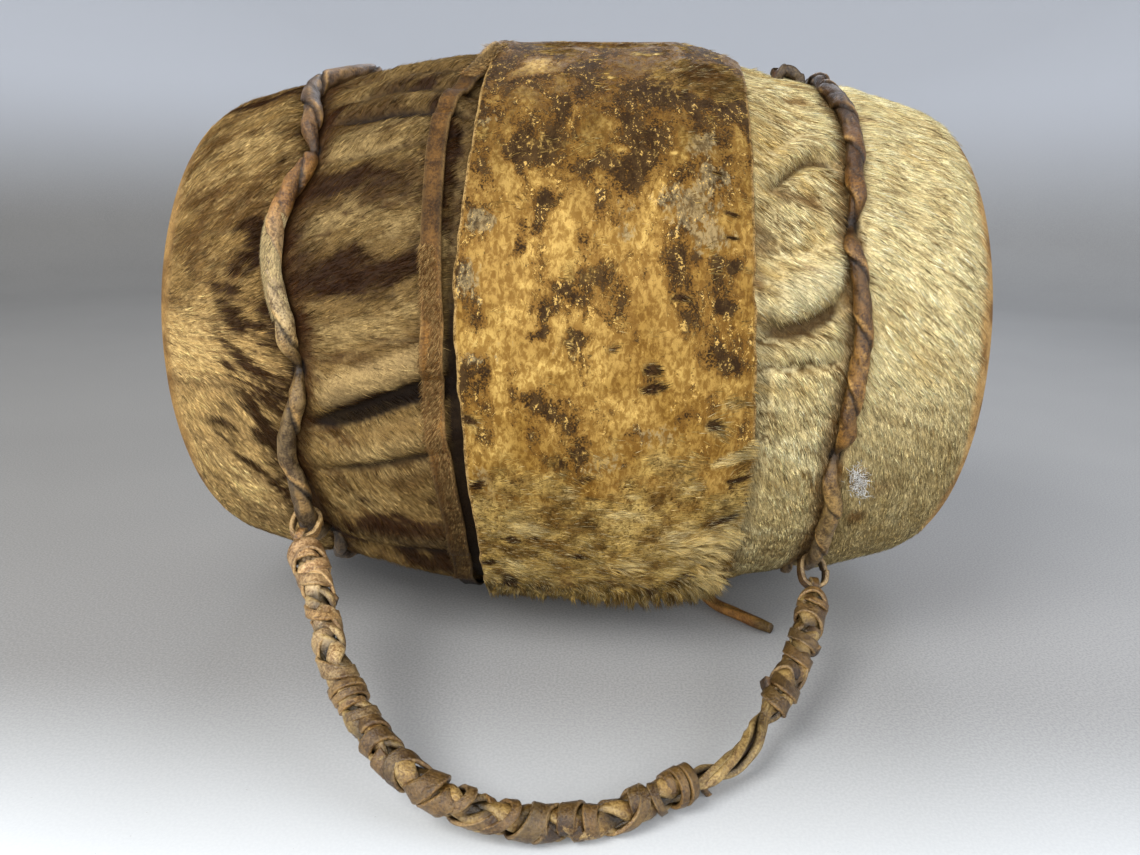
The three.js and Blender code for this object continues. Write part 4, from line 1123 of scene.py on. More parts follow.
def grow_band_hair(material):
    """Hair left on the band: short and flat in patches, dark in its cuts, and long and ragged at the lower
    right, where it hangs over the edges."""
    chance = np.random.default_rng(7)
    across = chance.uniform(0.003, 0.997, BAND_ROOTS_DRAWN)
    turn = chance.uniform(0, 360, BAND_ROOTS_DRAWN)
    left, right = band_edges(turn)
    x = left + (right - left) * across
    _, _, hairy, _, coat, cuts, pale = band_fields(x, turn)
    place = on_drum(x, BELLY_RADIUS, turn)
    front = (turn < 185) & (turn > 18)
    hairy = ease(0.3, 0.75, hairy + 0.25 * noise(place, 3, 88))
    odds = hairy * np.where(front, 0.62, 0.12) + 0.3 * pale * front + 0.5 * ease(0.4, 0.6, cuts)
    stray = ease(0.45, 0.75, noise(place, 7, 95))
    keep = chance.uniform(0, 1, BAND_ROOTS_DRAWN) < np.maximum(odds, stray * 0.1 * front)
    across, turn, x, coat, pale = (v[keep][:HAIRS_PER_PIECE] for v in (across, turn, x, coat, pale))
    count = len(turn)
    here, _, around, normal = surface_frame(band_shape, across, turn)
    place = on_drum(x, BELLY_RADIUS, turn)
    fringe = ease(66, 42, turn) * ease(-50, 44, x) * (turn > 18)
    under = hump(turn, 34, 16)
    rough = np.clip(pale * fringe * 1.6 + under * (0.6 + 0.6 * ease(-20, 40, x)), 0, 1)
    lie = 4 + 26 * noise(place, 16, 97) + (24 + 18 * rough) * noise(place, 5, 98) + chance.normal(0, 8, count)
    lie = lie - 80 * ease(50, 36, turn) * (turn > 18) + 35 * rough * noise(place, 7, 99)
    angle = np.radians(lie)[:, None]
    lift = 0.06 + 0.14 * chance.uniform(0, 1, count) + 0.7 * rough * ease(-0.2, 0.5, noise(place, 8, 100))
    step = unit(np.array([1.0, 0, 0]) - normal * normal[:, :1])
    tuft = np.round(place / 6.5 + 0.3 * noise(place, 5, 102)[:, None]) * 6.5
    gather = (tuft - place) / 5 * rough[:, None] + 0.3 * around * (noise(tuft, 4, 104) * rough)[:, None]
    heading = unit(step * np.cos(angle) + around * np.sin(angle) + normal * lift[:, None] + gather)
    length = (3.8 + 2.5 * pale + 5.5 * rough) * chance.uniform(0.6, 1.1, count)
    width = (0.4 + 0.2 * rough) * chance.uniform(0.7, 1.35, count)
    tone = chance.uniform(0.5, 1.4, count) * (1 + 0.4 * noise(place, 2.6, 96) + 0.45 * noise(tuft, 4, 94))
    tint = coat * tone[:, None]
    bright = (chance.uniform(0, 1, count) < 0.04 + 0.2 * pale + 0.12 * ease(70, 50, turn))[:, None]
    tint = np.where(bright, tint * 0.6 + linear("#ead8a6") * 0.4, tint)
    tip = here + heading * length[:, None]
    length = np.where(tip[:, 2] < 0.4, length * 0.2, length)
    fine = here[:, 2] > 0.5
    fields = [v[fine] for v in (here - normal * ROOT_DEPTH, normal, heading, length, width, tint)]
    strands("centre_band_hair", *fields, material)


# Thongs


def round_the(sides):
    """Even angles round a section."""
    return np.arange(sides) * 2 * math.pi / sides


def round_section(sides, radius, factor=1.0):
    """Offsets of a round section with a radius for each station and a factor for each corner."""
    theta = round_the(sides)
    radius = radius[:, None] * factor
    return stacked(radius * np.cos(theta), radius * np.sin(theta))


# A flat strip's section from edge to edge over the top and back below: places across as shares of half the
# width, heights as shares of the thickness, how pale each corner is, and painted shade for each corner: lit
# on its crown, shaded towards its edges and darkest below. Its cut edges stand up as thin lips.
STRIP_ACROSS = np.array((-1, -0.94, -0.8, -0.6, -0.25, 0.25, 0.6, 0.8, 0.94, 1, 0.85, 0, -0.85))
STRIP_HEIGHT = np.array((0, 0.44, 0.6, 0.5, 0.46, 0.46, 0.5, 0.6, 0.44, 0, -0.44, -0.5, -0.44))
STRIP_PALE = np.array((0.9, 1, 0.3, 0, 0, 0, 0, 0.3, 1, 0.9, 0.3, 0, 0.3))
STRIP_SHADE = np.array((0.5, 0.55, 0.6, 0.85, 1.12, 1.12, 0.85, 0.6, 0.55, 0.5, 0.35, 0.35, 0.35))


def strip_section(count, width, thickness, bend=0.0):
    """Offsets of a flat strip. The bend drops its edges by that many millimetres, as the square of the place
    across."""
    width, thickness, bend = (np.broadcast_to(value, (count,))[:, None] for value in (width, thickness, bend))
    across = STRIP_ACROSS * (width / 2)
    return stacked(across, STRIP_HEIGHT * thickness - bend * STRIP_ACROSS**2)


def strip_tint(points, colour, tone, pale="#d9c193", strength=0.7):
    """A strip's colour, a code or one for each station, lighter or darker by a tone for each station, with
    painted shade across its section and pale cut edges."""
    tone = np.maximum(np.asarray(tone, float), 0.04)
    tone = np.broadcast_to(tone.reshape(-1, 1, 1), points.shape[:2] + (1,))
    base = linear(colour) if isinstance(colour, str) else colour[:, None]
    edges = np.broadcast_to(STRIP_PALE * strength, points.shape[:2])
    return mixed(base * tone * STRIP_SHADE[:, None], linear(pale) * tone**0.8, edges)


def coloured(at, stops, codes):
    """Colours along a line: straight mixes between the codes at its stops."""
    return along_line(at, stops, np.array([linear(code) for code in codes.split()]))


def finish_piece(made, material, body, node_names):
    """Gives a piece its material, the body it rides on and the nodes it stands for."""
    made.data.materials.append(material)
    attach(made, body)
    if node_names:
        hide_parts(*node_names)
    return made


def rolled(theta, along, pitch, step_share=0.3):
    """Factor on the radius of a strip rolled into a thong: it rises round the section and drops at the
    strip's edge, and that seam winds along the thong once in each pitch. A fold lies opposite the seam.
    Also returns how deep in the seam a place is, and how far round the strip."""
    phase = (theta[None] / (2 * math.pi) - along[:, None] / pitch) % 1.0
    seam = np.exp(-((np.minimum(phase, 1 - phase) / 0.045) ** 2))
    fold = np.exp(-(((phase - 0.52) / 0.05) ** 2))
    factor = 1 - step_share * 0.45 + step_share * phase**0.8 - 0.2 * seam - 0.09 * fold
    return factor, seam + 0.5 * fold, phase


LACING_STATIONS = 1100
LACING_SIDES = 32
# Colour of each lacing by turn: thread-bare brown, orange gold, pale with hair, and grey-brown
LACING_TONES = {
    "brown": (
        (0, 50, 80, 92, 100, 112, 121, 134, 146, 180, 270, 360),
        "#6e5a44 #7a6549 #93794f #c09a5c #cdb27e #c7a877 #a9773a #b07d3c #6f5436 #7a5c38 #8a6a40 #6e5a44",
    ),
    "cream": (
        (0, 50, 64, 80, 95, 108, 122, 135, 150, 180, 270, 360),
        "#6a4f30 #8c744e #a8884f #9a6f34 #946a2e #775428 #855c26 #775024 #553a1c #523820 #8a6a40 #6a4f30",
    ),
}


def lacing_centre(key, turn):
    """Centre line of a lacing and its half thickness: it lies on the hide, dives into each hole squeezed to
    half, and is pulled clear of the hide at its anchor."""
    lacing = LACINGS[key]
    anchored = hump(turn_apart(turn, lacing["anchor"]), 0, 12)
    apart = hole_apart(lacing, turn)
    dive = hump(apart, 0, 6.0) * (1 - anchored)
    x = lacing_x(lacing, turn) + lacing["side"] * 1.6 * np.sign(apart) * hump(np.abs(apart), 5, 5)
    base = hide_radius(x) + np.maximum(pleat_rise(HIDES[key], x, turn), -0.5)
    size = LACING_RADIUS * (1.04 + 0.09 * noise(stacked(turn * 2.2, 0.0, 0.0), 14, 101))
    size = size * (1 - 0.5 * dive)
    under = ease(50, 40, turn) + ease(330, 350, turn)
    size = size * (1 - 0.2 * under) * lacing["size"]
    return on_drum(x, base + size * 0.86 + 4.0 * anchored - dive * 5.2 - 1.6 * under, turn), size, dive


def make_lacing(key, leather, node_name):
    """A lacing, rolled from a strip."""
    turn = np.arange(LACING_STATIONS) * 360 / LACING_STATIONS
    path, size, dive = lacing_centre(key, turn)
    run = np.radians(turn) * 130
    theta = round_the(LACING_SIDES)
    whole = run[-1] * (1 + 1 / LACING_STATIONS)
    factor, seam, phase = rolled(theta, run, whole / round(whole / LACINGS[key]["twist"]))
    ring = stacked(run[:, None], 5 * np.cos(theta), 5 * np.sin(theta))
    bumps = 1 + 0.09 * noise(ring * (0.5, 1, 1), 3, 103) + 0.05 * noise(ring * (0.25, 1, 1), 1.2, 104)
    points = tube_points(path, outward(turn), round_section(LACING_SIDES, size, factor * bumps), closed=True)
    stops, codes = LACING_TONES[key]
    tone = 0.5 + 0.42 * phase + 0.28 * noise(ring, 9, 105)
    tint = coloured(turn, stops, codes)[:, None] * tone[..., None]
    tint = mixed(tint, "#b38c50", ease(0.25, 0.75, noise(ring * (0.5, 1, 1), 3, 108)) * 0.45)
    # A pale cut edge beside the seam, partly a painted glint.
    lip = np.exp(-(((phase - 0.9) / 0.04) ** 2)) * ease(-0.2, 0.6, noise(ring, 11, 106))
    tint = mixed(tint, "#d2a560", lip * 0.7)
    # Painted shade, near black, in the seam's crevice and where the lacing dives into a hole.
    tint = mixed(tint, "#1c120a", np.clip(np.maximum(seam * 0.9, dive[:, None] * 0.85), 0, 1))
    made = grid_object(f"{key}_lacing", points, closed_rows=True, tint=tint)
    finish_piece(made, leather, "drum", [node_name])


def grow_lacing_hair(hair):
    """Pale hair left on the brown lacing in front, all round it but not in its holes."""
    chance = np.random.default_rng(23)
    turn = chance.uniform(88, 119, LACING_ROOTS_DRAWN)
    path, size, dive = lacing_centre("brown", turn)
    ahead = unit(lacing_centre("brown", turn - 0.4)[0] - path)
    around = np.radians(chance.uniform(-95, 95, len(turn)))[:, None]
    across = unit(np.cross(ahead, outward(turn)))
    normal = unit(np.cross(across, ahead)) * np.cos(around) + across * np.sin(around)
    heading = unit(ahead + 0.35 * across + normal * chance.uniform(0.05, 0.25, len(turn))[:, None])
    tint = linear("#d6bd8a") * chance.uniform(0.5, 1.2, len(turn))[:, None]
    keep = (noise(path, 9, 107) > -0.25) & (dive < 0.2)
    root = path + normal * (size * 0.98)[:, None]
    length = chance.uniform(1.8, 3.4, len(turn))
    width = np.full(len(turn), THONG_HAIR_WIDTH)
    fields = [v[keep] for v in (root, normal, heading, length, width, tint)]
    strands("brown_lacing_hair", *fields, hair)


GIRTH_STATIONS = 900
GIRTH_TURNS = (165, 150, 139, 125, 110, 92, 73, 60, 37, 0, -90, -150, -170)
GIRTH_PLACE_SHARES = (0.195, 0.24, 0.29, 0.295, 0.29, 0.287, 0.277, 0.263, 0.268, 0.28, 0.28, 0.29, 0.3)


def girth_path(turn):
    """Centre of the flat thong beside the band at a turn, and the wobble that it has there."""
    x = -HALF_LENGTH * through(-turn, [-value for value in GIRTH_TURNS], GIRTH_PLACE_SHARES)
    wobble = noise(stacked(turn * 2.5, 0.0, 0.0), 30, 111)
    x = x + 0.9 * wobble
    rise = np.maximum(pleat_rise(HIDES["brown"], x, turn % 360), 0)
    return on_drum(x, hide_radius(x) + 1.9 + 0.75 * rise + 0.3 * wobble, turn), wobble


def make_girth(leather, hair):
    """The flat thong beside the band: it leaves from under the band at the top, twisted on edge, and lies
    flat down the front, round the underside and up the back. Short hair is left on it in front."""
    turn = np.linspace(GIRTH_TURNS[0], GIRTH_TURNS[-1], GIRTH_STATIONS)
    path, wobble = girth_path(turn)
    twist = np.radians(85) * hump(turn, 158, 11) + np.radians(10) * wobble
    width = 9.3 * (1 - 0.25 * hump(turn, 158, 10)) * (1 + 0.06 * wobble)
    section = strip_section(GIRTH_STATIONS, width, 2.1)
    c, s = np.cos(twist)[:, None], np.sin(twist)[:, None]
    over, high = section[..., 0], section[..., 1]
    section = stacked(over * c - high * s, over * s + high * c)
    section[..., 1] += 3.4 * hump(turn, 158, 11)[:, None]
    points = tube_points(path, outward(turn), section)
    tone = 0.85 + 0.3 * noise(path, 22, 113) - 0.4 * ease(104, 122, turn) + 0.2 * hump(turn, 88, 18)
    tone = tone - 0.62 * ease(80, 56, turn)
    tint = strip_tint(points, "#7b5a2c", tone, "#ab8e5e", 0.55)
    fuzzy = hump(turn, 160, 14)[:, None] * np.ones(points.shape[1])
    tint = mixed(tint, linear("#b8a070") * np.ones(points.shape), fuzzy * 0.8)
    made = capped("girth", points, tint)
    finish_piece(made, leather, "drum", ["girth_thong"])
    chance = np.random.default_rng(17)
    count = GIRTH_HAIRS
    flat = chance.uniform(38, 112, count - GIRTH_HAIRS_ON_EDGE)
    turn = np.concatenate([flat, chance.uniform(148, 168, GIRTH_HAIRS_ON_EDGE)])
    path, wobble = girth_path(turn)
    ahead = unit(girth_path(turn - 0.5)[0] - path)
    normal = outward(turn)
    across = np.cross(ahead, normal)
    lie = np.radians(chance.normal(28, 14, count) + 20 * noise(path, 9, 115))[:, None]
    root = path + across * chance.uniform(-4.2, 4.2, count)[:, None] + normal * 0.95
    on_edge = hump(turn, 160, 14)[:, None]
    root = root + normal * on_edge * chance.uniform(0, 4.5, count)[:, None]
    lift = chance.uniform(0.05, 0.2, count)[:, None] + 0.5 * on_edge * chance.uniform(-1, 1, count)[:, None]
    heading = unit(ahead * np.cos(lie) + across * np.sin(lie) + normal * lift)
    light = ease(0, 1, chance.uniform(-0.3, 1, count) + 0.7 * on_edge[:, 0])
    tone = chance.uniform(0.6, 1.3, count) * (1 - 0.5 * ease(80, 58, turn))
    tint = mixed("#6b4a28", "#a98a58", light) * tone[:, None]
    length = chance.uniform(2.0, 4.2, count)
    width = np.full(count, THONG_HAIR_WIDTH)
    strands("girth_hair", root, normal, heading, length, width, tint, hair)


def loop_piece(name, path, width, thickness, outs, leather, body, node_names, slot, code, pale):
    """A loop of flat thong along a path, with closed ends and pale cut edges."""
    points = tube_points(path, outs, strip_section(len(path), width, thickness, 0.3))
    tint = strip_tint(points, code, 1 + 0.3 * noise(path, 6, 117), strength=pale)
    made = capped(name, points, tint)
    return finish_piece(made, leather, body, node_names)


# Strap


LEFT_PIVOT = np.array((-120.5, -124.178, 67.736))
RIGHT_PIVOT = np.array((120.5, -102.855, 41.869))
HINGE_LINE = unit(RIGHT_PIVOT - LEFT_PIVOT)
STRAP_NORMAL = np.array((0.131427, -0.369506, 0.919887))
STRAP_OUT = np.array((0.041332, -0.925087, -0.3775))
# Anchor rings of flat thong, and the room left round the lacing
RING_WIDTH = 3.4
RING_ROOM = 0.6
# Centreline of the strap from eye to eye, in millimetres
STRAP_ROUTE = (
    (-120.3, -127.9, 66.2), (-114.2, -135.3, 62.4), (-106.6, -148.1, 56.1), (-99.7, -162.0, 49.6),
    (-92.0, -176.6, 42.6), (-85.3, -186.8, 37.5), (-77.8, -197.0, 32.4), (-68.6, -207.8, 26.7),
    (-58.3, -216.4, 21.8), (-47.1, -223.1, 17.5), (-35.3, -227.8, 13.9), (-22.4, -230.3, 11.1),
    (-9.5, -230.8, 9.1), (4.2, -229.7, 7.5), (17.9, -226.2, 7.0), (32.3, -219.6, 7.6),
    (45.5, -211.7, 8.9), (57.0, -203.9, 10.3), (69.5, -195.6, 11.9), (79.9, -185.7, 14.4),
    (88.1, -174.1, 17.9), (97.4, -159.0, 22.6), (106.5, -141.0, 28.5), (113.5, -124.2, 34.3),
    (120.7, -106.6, 40.4),
)
STRAP_STATIONS = 600
BRAID_STATIONS = 620
BRAID_RADIUS = 3.6
BRAID_SWING = 1.5
BRAID_PITCH = 40.0
STRIP_WIDTH = 7.4
STRIP_THICKNESS = 2.3
# Stretch without windings, where the strips only twist together
LOOSE_START, LOOSE_END, LOOSE_PITCH = 240.0, 291.0, 66.0
# Windings: place along the strap in mm, turns, width of the thong, pitch, start angle, slant of the loops in
# mm, tone, and how far they stand off. The first nine stand for the solids' windings.
WRAPS = (
    (42, 1.3, 4.8, 11.0, 200, 6.5, 1.1, 0.4),
    (86, 2.8, 3.2, 4.2, 200, 1.0, 1.1, 0.2),
    (111, 1.8, 6.8, 8.0, 90, -2.0, 1.0, 0.1),
    (138, 1.2, 7.4, 9.5, 0, 3.0, 0.9, 0.0),
    (161, 1.1, 4.2, 8.0, 150, 6.5, 1.4, 0.2),
    (195, 1.2, 6.2, 8.6, 60, -3.0, 1.1, 0.0),
    (234, 2.2, 3.4, 4.4, 100, 0.5, 1.0, 0.4),
    (303, 1.5, 6.0, 9.0, 30, -5.0, 0.9, 0.3),
    (326, 1.4, 6.0, 9.5, 220, -5.5, 0.85, 0.4),
)
MORE_WRAPS = (
    (5, 1.2, 5.8, 5.0, 30, 3.5, 1.2, 0.8),
    (11, 1.1, 6.8, 6.0, 200, -5.5, 1.0, 1.0),
    (18, 1.0, 5.6, 9.0, 100, 6.5, 1.25, 1.0),
    (28, 1.0, 6.4, 12.0, 300, -6.5, 1.05, 0.3),
    (57, 0.9, 6.8, 12.0, 100, -6.0, 0.9, 0.1),
    (74, 0.9, 6.4, 13.0, 330, 6.0, 1.0, 0.1),
    (98, 0.9, 4.0, 9.0, 10, 3.0, 1.1, 0.0),
    (126, 0.9, 5.4, 13.0, 250, -5.5, 1.0, 0.0),
    (151, 0.9, 4.0, 14.0, 60, 6.5, 1.3, 0.2),
    (177, 1.1, 6.6, 9.0, 300, 2.5, 0.9, 0.0),
    (186, 0.9, 5.4, 12.0, 30, -4.0, 1.2, 0.1),
    (210, 1.0, 4.2, 9.0, 180, 5.5, 1.2, 0.1),
    (222, 1.1, 3.8, 8.0, 90, -4.0, 1.0, 0.2),
    (314, 0.9, 5.0, 12.0, 90, 5.0, 1.1, 0.2),
    (338, 1.1, 5.4, 9.0, 10, -4.0, 0.9, 0.4),
    (349, 1.5, 6.0, 7.4, 200, 1.5, 0.8, 0.6),
    (359, 1.1, 3.2, 7.0, 90, -6.0, 1.1, 0.7),
    (360, 1.0, 3.0, 7.0, 250, 4.5, 1.2, 0.8),
)
# Ends of thong that stick out of the strap: place, direction round it, length
TABS = ((246, -75, 11.0), (299, 165, 7.0), (331, 0, 5.0), (33, 195, 4.0))


def strap_frame(at, centre, run):
    """Centre of the strap at lengths along it, with its tangent and the two directions across it."""
    place = along_line(at, run, centre)
    along = unit(along_line(at, run, unit(np.gradient(centre, axis=0))))
    up = unit(STRAP_NORMAL - along * (along @ STRAP_NORMAL)[..., None])
    return place, along, np.cross(along, up), up


def thickness_share(at, total):
    """Share of the strap's full size at a length: less at its tips by the eyes, and where it only twists."""
    eyes = 0.6 + 0.4 * ease(0, 9, np.minimum(at, total - at))
    return eyes * (1 - 0.12 * loose_share(at))


def loose_share(at):
    """1 where the strap has no windings, 0 where it has, eased over 11 mm."""
    return ease(LOOSE_START - 6, LOOSE_START + 5, at) * ease(LOOSE_END + 6, LOOSE_END - 5, at)


STRAP_STOPS = (0, 25, 60, 90, 115, 215, 245, 290, 305, 340, 367)
BRAID_CODES = "#b89f7a #b29a74 #a68f6a #907748 #8e6e36 #8c6d38 #866b3c #7f6636 #7d6130 #7f6538 #826938"
SHADE_STOPS = (0, 30, 62, 100, 215, 246, 286, 300, 367)
SHADES = (1.0, 1.05, 1.0, 0.74, 0.66, 0.72, 0.74, 0.72, 0.78)
WINDING_CODES = "#9a7a56 #987c58 #887251 #6f5a3c #5f482a #57401f #5b4524 #5d4828 #4d391f #573f22 #6d532f"


def strap_hollow_shade_and_highlight(points, middle, size, tint, at, highlight):
    """Painted shade low in the strap's hollows and a painted gold highlight where it stands out, by the
    distance from its middle. The strap's lower part is darker."""
    high = np.linalg.norm(points - middle[:, None], axis=-1) / size[:, None] + 1.9 * loose_share(at)[:, None]
    shade = np.interp(at, SHADE_STOPS, SHADES)
    tint = tint * (0.07 + 1.05 * ease(3.3, 6.1, high))[..., None]
    return mixed(tint, "#d6b878", ease(5.2, 6.6, high) * highlight) * shade[:, None, None]


def braid_grids(centre, run, total):
    """Four flat strips round a core, two turning each way. The ways' angles are one twist plus and minus a
    half angle, and a strip swings out and in as the cosine of the whole angle between the ways, so each
    passes over one and under the next. Where the strap is loose all four twist together."""
    at = np.linspace(1.0, total - 1.0, BRAID_STATIONS)
    place, along, side, up = strap_frame(at, centre, run)
    loose = loose_share(at)
    kink = stacked(at, 0.0, 0.0)
    place = place + side * (2.3 * loose * noise(kink, 15, 118))[:, None]
    place = place + up * (1.4 * loose * noise(kink, 12, 119))[:, None]
    step = (at[1] - at[0]) * 2 * math.pi
    counter = np.cumsum(1 - loose) * step / BRAID_PITCH
    counter += 0.42 - np.interp((LOOSE_START + LOOSE_END) / 2, at, counter) % math.pi
    together = np.cumsum(loose) * step / LOOSE_PITCH
    size = thickness_share(at, total)
    grids = []
    for index in range(4):
        way = 1 if index < 2 else -1
        line = stacked(at, 30.0 * index, 0.0)
        stray = 0.3 * noise(line, 21, 121) * (1 - 0.5 * loose)
        angle = together + way * counter + math.pi * (index % 2) + stray
        swing = way * np.cos(2 * counter) * BRAID_SWING * (1 - loose)
        rough = noise(line, 9, 123)
        radius = (BRAID_RADIUS - 0.7 * loose + swing + (0.6 + 1.5 * loose) * rough) * size
        out = side * np.cos(angle)[:, None] + up * np.sin(angle)[:, None]
        path = place + out * radius[:, None]
        width = STRIP_WIDTH * (1 - 0.5 * loose) * size * (1 + 0.2 * noise(line, 24, 125))
        thickness = (STRIP_THICKNESS + 0.9 * loose) * size
        tilt = 0.5 * noise(line, 13, 127)
        facing = out * np.cos(tilt)[:, None] + np.cross(along, out) * np.sin(tilt)[:, None]
        points = tube_points(path, facing, strip_section(len(at), width, thickness, 1.5 - 0.9 * loose))
        tone = 1.1 + 0.5 * noise(line, 12, 129) + 0.2 * (index - 1.5)
        tint = strip_tint(points, coloured(at, STRAP_STOPS, BRAID_CODES), tone, "#c9ab72", 0.4)
        grids.append((points, strap_hollow_shade_and_highlight(points, place, size, tint, at, 0.45)))
    # The core is painted near black, as the shade seen in the gaps between the strips.
    core = tube_points(place[::4], up[::4], round_section(8, ((2.6 - 1.2 * loose) * size)[::4]))
    grids.append((core, linear("#2e2114") * np.ones(core.shape)))
    return grids


def winding_grid(wrap, seed, centre, run, total):
    """One winding: a helix of flat thong pressed on the braid, slanted by shifting it along the strap as the
    sine of its angle, with both ends tucked in."""
    middle, turns, width, pitch, start, slant, tone, off = wrap
    count = int(turns * 56)
    t = np.linspace(-0.13, turns + 0.13, count)
    angle = np.radians(start) + t * 2 * math.pi
    at = middle + (t - turns / 2) * pitch + slant * np.sin(angle)
    place, along, side, up = strap_frame(np.clip(at, 1, total - 1), centre, run)
    out = side * np.cos(angle)[:, None] + up * np.sin(angle)[:, None]
    line = stacked(t * 13, 40.0 * seed, 0.0)
    rough = noise(line, 5, 131)
    tuck = 2.2 * (ease(0.07, -0.13, t) + ease(turns - 0.07, turns + 0.13, t))
    size = thickness_share(at, total)
    radius = (BRAID_RADIUS + BRAID_SWING + 0.3) * size + 0.5 + off + 0.5 * rough - tuck
    path = place + out * radius[:, None]
    facing = out + along * (0.3 * noise(line, 7, 135))[:, None]
    section = strip_section(count, width * (1 + 0.2 * rough), 1.7, 0.4)
    points = tube_points(path, facing, section)
    tint = coloured(at, STRAP_STOPS, WINDING_CODES)
    tint = strip_tint(points, tint, tone * (1.2 + 0.5 * noise(line, 6, 137)), "#b3905c", 0.5)
    return points, strap_hollow_shade_and_highlight(points, place, np.ones(count), tint, at, 0.1)


def tab_grid(tab, centre, run):
    """The free end of a thong: it leaves the strap, bends over and ends square."""
    at, angle, length = tab
    place, along, side, up = strap_frame(np.array([float(at)]), centre, run)
    place, along, side, up = place[0], along[0], side[0], up[0]
    out = side * math.cos(math.radians(angle)) + up * math.sin(math.radians(angle))
    t = np.linspace(0, 1, 24)[:, None]
    path = place + out * (3.5 + length * (t - 0.25 * t**2)) + along * (3.5 * t**2)
    points = tube_points(path, np.broadcast_to(along, path.shape), strip_section(24, 5.6, 2.2, 0.2))
    return points, strip_tint(points, "#5d4528", 0.8 + 0.3 * t[:, 0], "#c0a070", 0.4)


def make_strap(braid_leather, wrap_leather):
    """The strap: the braid with its smaller windings, loose ends, the nine larger windings and the eyes."""
    centre, total = resampled(STRAP_ROUTE, STRAP_STATIONS)
    run = np.linspace(0, total, STRAP_STATIONS)
    grids = braid_grids(centre, run, total)
    grids += [winding_grid(wrap, 20 + i, centre, run, total) for i, wrap in enumerate(MORE_WRAPS)]
    made = joined_grids("strap_braid", grids)
    finish_piece(made, braid_leather, "strap", ["strap_core"])
    ends = joined_grids("strap_ends", [tab_grid(tab, centre, run) for tab in TABS])
    pieces = [finish_piece(ends, wrap_leather, "strap", [])]
    for i, wrap in enumerate(WRAPS):
        points, tint = winding_grid(wrap, i, centre, run, total)
        winding = capped(f"winding_{i + 1}", points, tint)
        pieces.append(finish_piece(winding, wrap_leather, "strap", [f"strap_wrap_{i + 1}"]))
    pieces.append(make_eye("left_eye", LEFT_PIVOT, wrap_leather, "#8f6f45"))
    pieces.append(make_eye("right_eye", RIGHT_PIVOT, wrap_leather, "#55401f"))


def joined_grids(name, grids):
    """One mesh of several tubes with closed ends, each with its own strip of the UV map."""
    made = [capped(f"{name}_{i}", *grid) for i, grid in enumerate(grids)]
    for i, one in enumerate(made):
        layer = one.data.uv_layers["OFBake"].data
        uv = np.empty(len(layer) * 2, np.float32)
        layer.foreach_get("uv", uv)
        uv = uv.reshape(-1, 2)
        uv[:, 0] = (uv[:, 0] * 0.96 + i) / len(made)
        layer.foreach_set("uv", uv.ravel())
    bpy.ops.object.select_all(action="DESELECT")
    for one in made:
        one.select_set(True)
    bpy.context.view_layer.objects.active = made[0]
    bpy.ops.object.join()
    made[0].name = name
    return made[0]


def make_eye(name, pivot, leather, code):
    """The strap's eye: a thin thong that runs round its anchor ring and back under the first winding."""
    angle = np.radians(np.linspace(-20, 380, 90))
    spiral = np.linspace(-1.3, 1.3, 90)
    ring = pivot + 4.0 * (STRAP_OUT * np.cos(angle)[:, None] + STRAP_NORMAL * np.sin(angle)[:, None])
    path = ring + HINGE_LINE * spiral[:, None]
    outs = unit(ring - pivot)
    return loop_piece(name, path, 4.0, 2.0, outs, leather, "strap", [], "wrap_hide", code, 0.4)


def make_anchor(name, lacing_key, pivot, leather, node_name, code):
    """An anchor ring: a thin thong wound twice round the lacing and through the strap's eye."""
    out = outward(float(LACINGS[lacing_key]["anchor"]))
    out = unit(out - HINGE_LINE * (out @ HINGE_LINE))
    radius = LACING_RADIUS + RING_ROOM + RING_WIDTH / 2
    reach = radius + RING_WIDTH + RING_ROOM
    turned = np.linspace(0, 2, 160)
    angle = turned * 2 * math.pi
    slide = np.where(np.sin(angle) > 0, -radius, -reach)
    slide = np.convolve(np.pad(slide, 6, mode="edge"), np.ones(13) / 13, mode="valid")
    path = pivot + out * (slide + radius * np.sin(angle))[:, None]
    path = path + HINGE_LINE * (radius * np.cos(angle))[:, None]
    path = path + np.cross(HINGE_LINE, out) * (2.0 * (turned - 1))[:, None]
    outs = out * np.sin(angle)[:, None] + HINGE_LINE * np.cos(angle)[:, None]
    return loop_piece(name, path, RING_WIDTH, 2.0, outs, leather, "drum", [node_name], "ring_hide", code, 0.4)


# Small pieces


def make_lint(hair):
    """White fluff caught beside the right lacing: fine strands that point every way."""
    chance = np.random.default_rng(41)
    count = LINT_STRANDS
    x = 130 + 2.6 * chance.normal(size=count)
    turn = 69.5 + 1.7 * chance.normal(size=count) - 0.45 * (x - 130)
    normal = outward(turn)
    heading = unit(chance.normal(size=(count, 3)) + 0.5 * normal)
    root = on_drum(x, hide_radius(x) + 2.2 + chance.uniform(0, 1.2, count), turn)
    tint = linear("#e4e2dc") * chance.uniform(0.6, 1.1, count)[:, None]
    length = chance.uniform(1.5, 4.5, count)
    strands("lint", root, normal, heading, length, np.full(count, 0.28), tint, hair)


TAIL_ROUTE = (
    (72.5, -37.5, 10.4), (75.5, -41.5, 7.6), (80.0, -46.6, 4.6), (93.0, -59.0, 3.5), (108.0, -74.0, 3.5),
)
TAIL_DIAMETER = 6.4
TAIL_STATIONS, TAIL_SIDES = 90, 24


